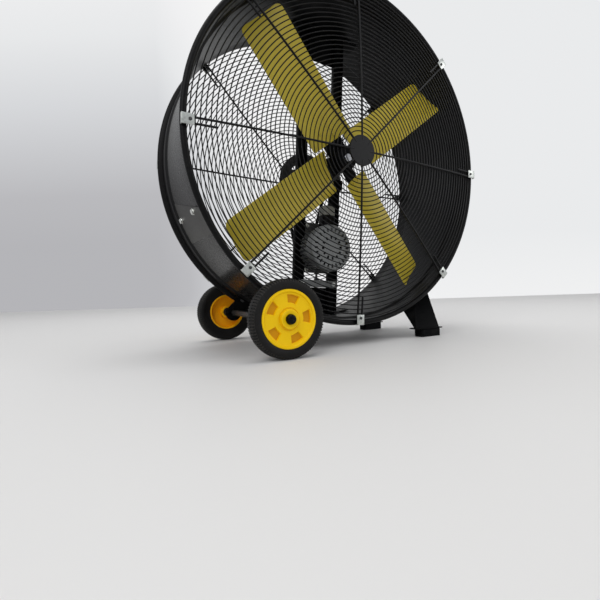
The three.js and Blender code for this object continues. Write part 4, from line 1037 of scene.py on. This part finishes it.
def in_pocket(radius, y, angle):
    on_web = POCKET_IN_R < radius < POCKET_OUT_R and abs(y - WEB_Y) < 0.5 * MM
    return on_web and (angle + POCKET_SWEEP / 2) % POCKET_SHARE < POCKET_SWEEP


def wheel_centre(place):
    bm = spun(in_mm(HUB_OUTSIDE + HUB_INSIDE), WHEEL_STEPS)
    pockets = faces_where(bm, in_pocket)
    for width, depth in ((1 * MM, 0), (1.5 * MM, -POCKET_DEPTH)):
        bmesh.ops.inset_region(bm, faces=pockets, thickness=width, depth=depth, use_even_offset=True)
    # The pocket floors take the deeper orange, which is painted shade in the recesses.
    for face in pockets:
        face.material_index = 1
    # Faces on the hub's inner side take the orange copy, which is painted warm shade.
    for face in faces_where(bm, lambda radius, y, angle: y > SHADED_INSIDE_Y):
        face.material_index = 2
    return placed(bm, place @ turned_to(FIRST_POCKET))


# %% [markdown]
# The tyre is solid rubber with a shallow rib all round each shoulder. Every other face of the
# shoulder is pressed in a little, which leaves the fine ribs that show at the tyre's edge.

# %% Tyre
TYRE_STEPS = 168
RIB_IN_R = 94.6 * MM
RIB_START, RIB_END = 5.2 * MM, 20.5 * MM
GROOVE_DEPTH = 1.8 * MM
TYRE_SEAT = [(61.6, 18.9), (61.6, -11.7), (75.3, -11.7), (75.3, -18)]
TYRE_HALF = [(77, -19.4), (82, -21.6), (88, -22), (93.5, -21.4), (94.5, -20.6), (96, -20.2),
             (98.6, -18.2), (100, -15.4), (101.1, -11), (101.5, -5)]


def on_shoulder(odd):
    """A rule for every other step of the spin, on both shoulders."""
    return lambda radius, y, angle: (radius > RIB_IN_R and RIB_START < abs(y) < RIB_END
                                     and int(angle / FULL_TURN * TYRE_STEPS) % 2 == odd)


def tyre(place):
    bm = spun(in_mm(TYRE_SEAT[1:] + mirrored(TYRE_HALF) + TYRE_SEAT[:1]), TYRE_STEPS)
    for face in faces_where(bm, on_shoulder(0)):
        face.material_index = 1
    grooves = faces_where(bm, on_shoulder(1))
    bmesh.ops.inset_region(bm, faces=grooves, thickness=0.15 * MM, depth=-GROOVE_DEPTH)
    return placed(bm, place)


# %% [markdown]
# A domed cap covers each end of the axle. A wheel is made with its outer face to the front, so the
# back one is turned round.

# %% Both wheels
AXLE_CAP = [(10.4, -22.6), (13.6, -22.6), (13.2, -27), (12, -31), (10.8, -33), (9, -34), (4.5, -34.3),
            (3.5, -33.4), (0, -33.4), (0, -31.4), (10.4, -31.4)]

for word, side in SIDES:
    turn = Matrix.Rotation(0 if side < 0 else pi, 4, "Z")
    place = shift(middle(f"wheel_tyre_{word}")) @ turn
    wheel, rubber, cap = wheel_centre(place), tyre(place), placed(spun(in_mm(AXLE_CAP), 48), place)
    body = f"wheel_{word}"
    piece(wheel, f"hub_{word}", "hub_plastic pocket_plastic hub_inside", f"wheel_hub_{word}", body)
    piece(rubber, f"tyre_{word}", "tyre_rubber tread_rubber", f"wheel_tyre_{word}", body, smooth=35)
    piece(cap, f"cap_{word}", "cap_plastic", f"axle_cap_{word}")

# %% [markdown]
# The axle is one bar through both wheels. A collar on it keeps each wheel from sliding inwards.

# %% Axle
AXLE_R = 10 * MM
COLLAR_R = 15 * MM
COLLAR_WIDTH = 4 * MM
COLLAR_Y = (251 - 22) * MM

half = ends("wheel_axle")[1]
end = [(0, -half), (AXLE_R - 1 * MM, -half), (AXLE_R, 1 * MM - half)]
collar = [(AXLE_R, -COLLAR_Y), (COLLAR_R, -COLLAR_Y), (COLLAR_R, COLLAR_WIDTH - COLLAR_Y),
          (AXLE_R, COLLAR_WIDTH - COLLAR_Y)]
axle = spun(mirrored(end + collar), 40, closed=False)
piece(placed(axle, shift(middle("wheel_axle"))), "axle", "axle_steel", "wheel_axle")

# %% [markdown]
# ## Brackets and feet
# Plates of steel, welded to flanges that lie along the drum's bands, hold the axle at one side and
# the rubber feet at the other. Bolts go through the flanges into the band. The plates are cut, not
# moulded, so their edges are left crisp.

# %% Brackets
FLANGE_OUT_R = BAND_IN_R + SHEET + 4.3 * MM
FLANGE_Y = 140 * MM
FLANGE_BOLTS = (-121, -112, -67.5, -57)

for word, _ in SIDES:
    for kind in ("axle_bracket", "foot_bracket"):
        dressed(f"{kind}_{word}", "frame_paint", 0)

flange_bolts = bmesh.new()
for turn in FLANGE_BOLTS:
    for _, side in SIDES:
        x, z = polar(FLANGE_OUT_R, radians(turn))
        add_bolt(flange_bolts, AXIS + Vector((x, side * FLANGE_Y, z)), (x, 0, z))
piece(flange_bolts, "flange_bolts", "iron_paint")

# %% [markdown]
# The feet are moulded rubber blocks under the brackets, so their edges are the roundest of all. Two
# bolts on the bracket's foot plate hold each.

# %% Rubber feet
FOOT_PLATE = 3.7 * MM
FOOT_BOLTS = (0.22, 0.78)

for word, _ in SIDES:
    node = f"rubber_foot_{word}"
    low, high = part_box(node)
    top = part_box(f"foot_bracket_{word}")[0].z + FOOT_PLATE
    for share in FOOT_BOLTS:
        seat = Vector((low.x + share * (high.x - low.x), (low.y + high.y) / 2, top))
        add_bolt(root_bolts, seat, (0, 0, 1))
    foot = eased(copied(node), 2.5 * MM, segments=4, above=50)
    piece(foot, f"foot_{word}", "foot_rubber", node)

# %% [markdown]
# ## Handle and switch
# The handle is a bent tube on two round flanges, made as a wire of larger size.

# %% Carry handle
HANDLE_R = 12.5 * MM
HANDLE_BEND = 32 * MM
HANDLE_SIDE = 92 * MM
BEND_STEPS = 8
HANDLE_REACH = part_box("carry_handle")[1].x - HANDLE_R - AXIS.x
SEAT_R = WALL_OUT_R + GAP
FLANGE = [(0, 0), (23, 0), (24, 1), (24, 3), (23, 4), (0, 4)]
FLANGE_BOLT_R = 18 * MM


def handle_path():
    """From one flange out, round two bends and back to the other."""
    half = [Vector((SEAT_R + 2 * MM, HANDLE_SIDE, 0))]
    bend = Vector((HANDLE_REACH - HANDLE_BEND, HANDLE_SIDE - HANDLE_BEND, 0))
    for i in range(BEND_STEPS + 1):
        out, along = polar(HANDLE_BEND, pi / 2 * (1 - i / BEND_STEPS))
        half.append(bend + Vector((out, along, 0)))
    return half + [Vector((point.x, -point.y, 0)) for point in reversed(half)]


parts = [placed(wire(handle_path(), HANDLE_R, 24), AT_AXIS)]
lying = Matrix.Rotation(radians(-90), 4, "Z")
for _, side in SIDES:
    at = shift((SEAT_R, side * HANDLE_SIDE, 0))
    parts.append(placed(spun(in_mm(FLANGE), 48, closed=False), AT_AXIS @ at @ lying))
    for turn in range(45, 360, 90):
        across, rise = polar(FLANGE_BOLT_R, radians(turn))
        seat = AXIS + Vector((SEAT_R + 4 * MM, side * HANDLE_SIDE + across, rise))
        add_bolt(root_bolts, seat, (1, 0, 0), 3.6 * MM)
piece(merged(*parts), "handle", "frame_paint", "carry_handle")

# %% [markdown]
# The switch box is a moulded box with a lid held by four screws. The knob has a grip bar, and five
# raised ticks beside it show how far it turns. The cord's gland is on the box's other side. The
# box leans with the drum's wall, so its small parts are placed in a frame that leans with it.

# %% Switch box, knob and gland
SWITCH_ANGLE = radians(38)
LID_R = about_y(middle("speed_knob") - AXIS)[0]
AT_LID = AT_AXIS @ turned_to(SWITCH_ANGLE) @ shift((LID_R, ends("switch_box")[0], 0))
TICK_R = 23 * MM
TICK_SIZE = (4 * MM, 0.8 * MM, 1.2 * MM)

bm = bmesh.new()
for turn in range(90, -31, -30):
    place = AT_LID @ turned_to(radians(turn)) @ shift((TICK_R, 0, 0))
    bmesh.ops.create_cube(bm, size=1, matrix=place @ Matrix.Diagonal((*TICK_SIZE, 1)))
switch_box = eased(copied("switch_box"), 2.2 * MM, segments=3, above=40)
piece(switch_box, "switch_case", "plastic", "switch_box")
piece(bm, "switch_ticks", "cover_plastic")
for x in (-22, 22):
    for z in (-39, 39):
        add_bolt(root_bolts, AT_LID @ Vector((x * MM, 0, z * MM)), (0, -1, 0), 3 * MM)
dressed("speed_knob", "plastic", 0.8 * MM, "knob")
dressed("cord_gland", "plastic", 0.5 * MM)

# %% [markdown]
# The zinc bolts of the still parts are all in one mesh by now, and the blades' bolts in another.

# %% Bolts
piece(root_bolts, "bolts", "zinc")
piece(fan_bolts, "blade_bolts", "blade_paint", "", "fan")

# %% [markdown]
# ## Floor, light and background
# The floor and the wall behind it are one smooth sheet, so no line shows between them. Seen
# directly, in a mirror or through glass, the wall is pale grey, brighter to the right and higher up.
# It could be lit to that level, but the light would fall on the fan too. Light Path picks out those
# rays instead, and the wall stays a plain matt sheet for all other light.

# %% Wall material
FLOOR_COLOR = (0.70, 0.69, 0.675, 1)
WALL_LEFT, WALL_RIGHT = -2.4, 1.6
WALL_CLIMB = 0.12
WALL_TONES = [(0.0, (0.46, 0.46, 0.48)), (0.10, (0.49, 0.49, 0.51)), (0.28, (0.67, 0.68, 0.70)),
              (0.42, (0.80, 0.81, 0.82)), (0.56, (0.87, 0.87, 0.88)), (0.75, (0.92, 0.92, 0.92)),
              (1.0, (0.82, 0.83, 0.84))]


def studio_material(name):
    material = bpy.data.materials.new(name)
    material.use_nodes = True
    shader = material.node_tree.nodes["Principled BSDF"]
    shader.inputs["Base Color"].default_value = FLOOR_COLOR
    shader.inputs["Roughness"].default_value = 0.6
    return material


wall = studio_material("studio_wall")
tree = wall.node_tree
shader, output = tree.nodes["Principled BSDF"], tree.nodes["Material Output"]
coords = add_node(tree, "TexCoord")
turn = add_node(tree, "Mapping", {"Rotation": (0, 0, CAMERA_YAW)})
apart = add_node(tree, "SeparateXYZ")
across = add_node(tree, "MapRange", {"From Min": WALL_LEFT, "From Max": WALL_RIGHT})
climb = add_node(tree, "Math", {1: WALL_CLIMB, 2: -WALL_CLIMB}, operation="MULTIPLY_ADD")
both = add_node(tree, "Math", operation="ADD")
tones = add_node(tree, "ValToRGB")
stops = tones.color_ramp.elements
for place, _ in WALL_TONES[1:-1]:
    stops.new(place)
for stop, (place, tone) in zip(stops, WALL_TONES):
    stop.position = place
    stop.color = (*tone, 1)
glow = add_node(tree, "Emission")
rays = add_node(tree, "LightPath")
either, any_ray = [add_node(tree, "Math", operation="MAXIMUM") for i in range(2)]
mix = add_node(tree, "MixShader")
connect(tree, [
    (coords, "Object", turn, "Vector"), (turn, "Vector", apart, "Vector"),
    (apart, "X", across, "Value"), (apart, "Z", climb, 0), (across, "Result", both, 0),
    (climb, 0, both, 1), (both, 0, tones, "Fac"), (tones, "Color", glow, "Color"),
    (rays, "Is Camera Ray", either, 0), (rays, "Is Glossy Ray", either, 1),
    (either, 0, any_ray, 0), (rays, "Is Transmission Ray", any_ray, 1),
    (any_ray, 0, mix, "Fac"), (shader, "BSDF", mix, 1), (glow, "Emission", mix, 2),
    (mix, "Shader", output, "Surface")])

# %% [markdown]
# The sheet is one bent line, pulled sideways and turned to face the camera.

# %% Floor and backdrop
WALL_BEND_R = 2.2
WALL_START = 3.0
WALL_HEIGHT = 8
FLOOR_REACH = 9
WALL_REACH = 26
BEND_ANGLES = [radians(turn) for turn in range(0, 91, 6)]

bend = [(WALL_START + WALL_BEND_R * sin(a), WALL_BEND_R * (1 - cos(a))) for a in BEND_ANGLES]
line = [(-FLOOR_REACH, 0), *bend, (WALL_START + WALL_BEND_R, WALL_HEIGHT)]
bm = bmesh.new()
verts = [bm.verts.new((-WALL_REACH, y, z)) for y, z in line]
far_side, _ = extruded(bm, [bm.edges.new(pair) for pair in zip(verts, verts[1:])])
bmesh.ops.translate(bm, verts=far_side, vec=(2 * WALL_REACH, 0, 0))
bmesh.ops.rotate(bm, verts=bm.verts, cent=(0, 0, 0), matrix=Matrix.Rotation(-CAMERA_YAW, 3, "Z"))
for face in outward(bm).faces:
    face.material_index = int(face.calc_center_median().z > 0.01)
mesh = bpy.data.meshes.new("backdrop")
bm.to_mesh(mesh)
bm.free()
mesh.shade_smooth()
mesh.materials.append(studio_material("studio_floor"))
mesh.materials.append(wall)
add_object("backdrop", mesh)

# %% [markdown]
# Large soft lamps stand left, right and above, and a pale world fills the shadows. Together they
# light a surface at about the level where its colour comes out as it is written.

# %% Lamps and world


def lamp(name, place, target, size, power):
    light = bpy.data.lights.new(name, "AREA")
    light.shape = "RECTANGLE"
    light.size, light.size_y = size
    light.energy = power
    place, target = Vector(place), Vector(target)
    facing = (target - place).to_track_quat("-Z", "Y").to_matrix().to_4x4()
    add_object(name, light).matrix_world = shift(place) @ facing


lamp("key", (-3.2, -2.6, 3.4), (0, 0, 0.5), (2.6, 2.0), 66)
lamp("fill", (3.6, -2.8, 2.2), (0, 0, 0.5), (2.4, 2.4), 36)
lamp("top", (0, 0.4, 4.2), (0, 0, 0), (3.2, 3.2), 70)

world = bpy.data.worlds.new("studio")
world.use_nodes = True
world.node_tree.nodes["Background"].inputs["Color"].default_value = (0.9, 0.92, 0.96, 1)
world.node_tree.nodes["Background"].inputs["Strength"].default_value = 0.65
bpy.context.scene.world = world
bpy.context.scene.view_settings.view_transform = "Standard"
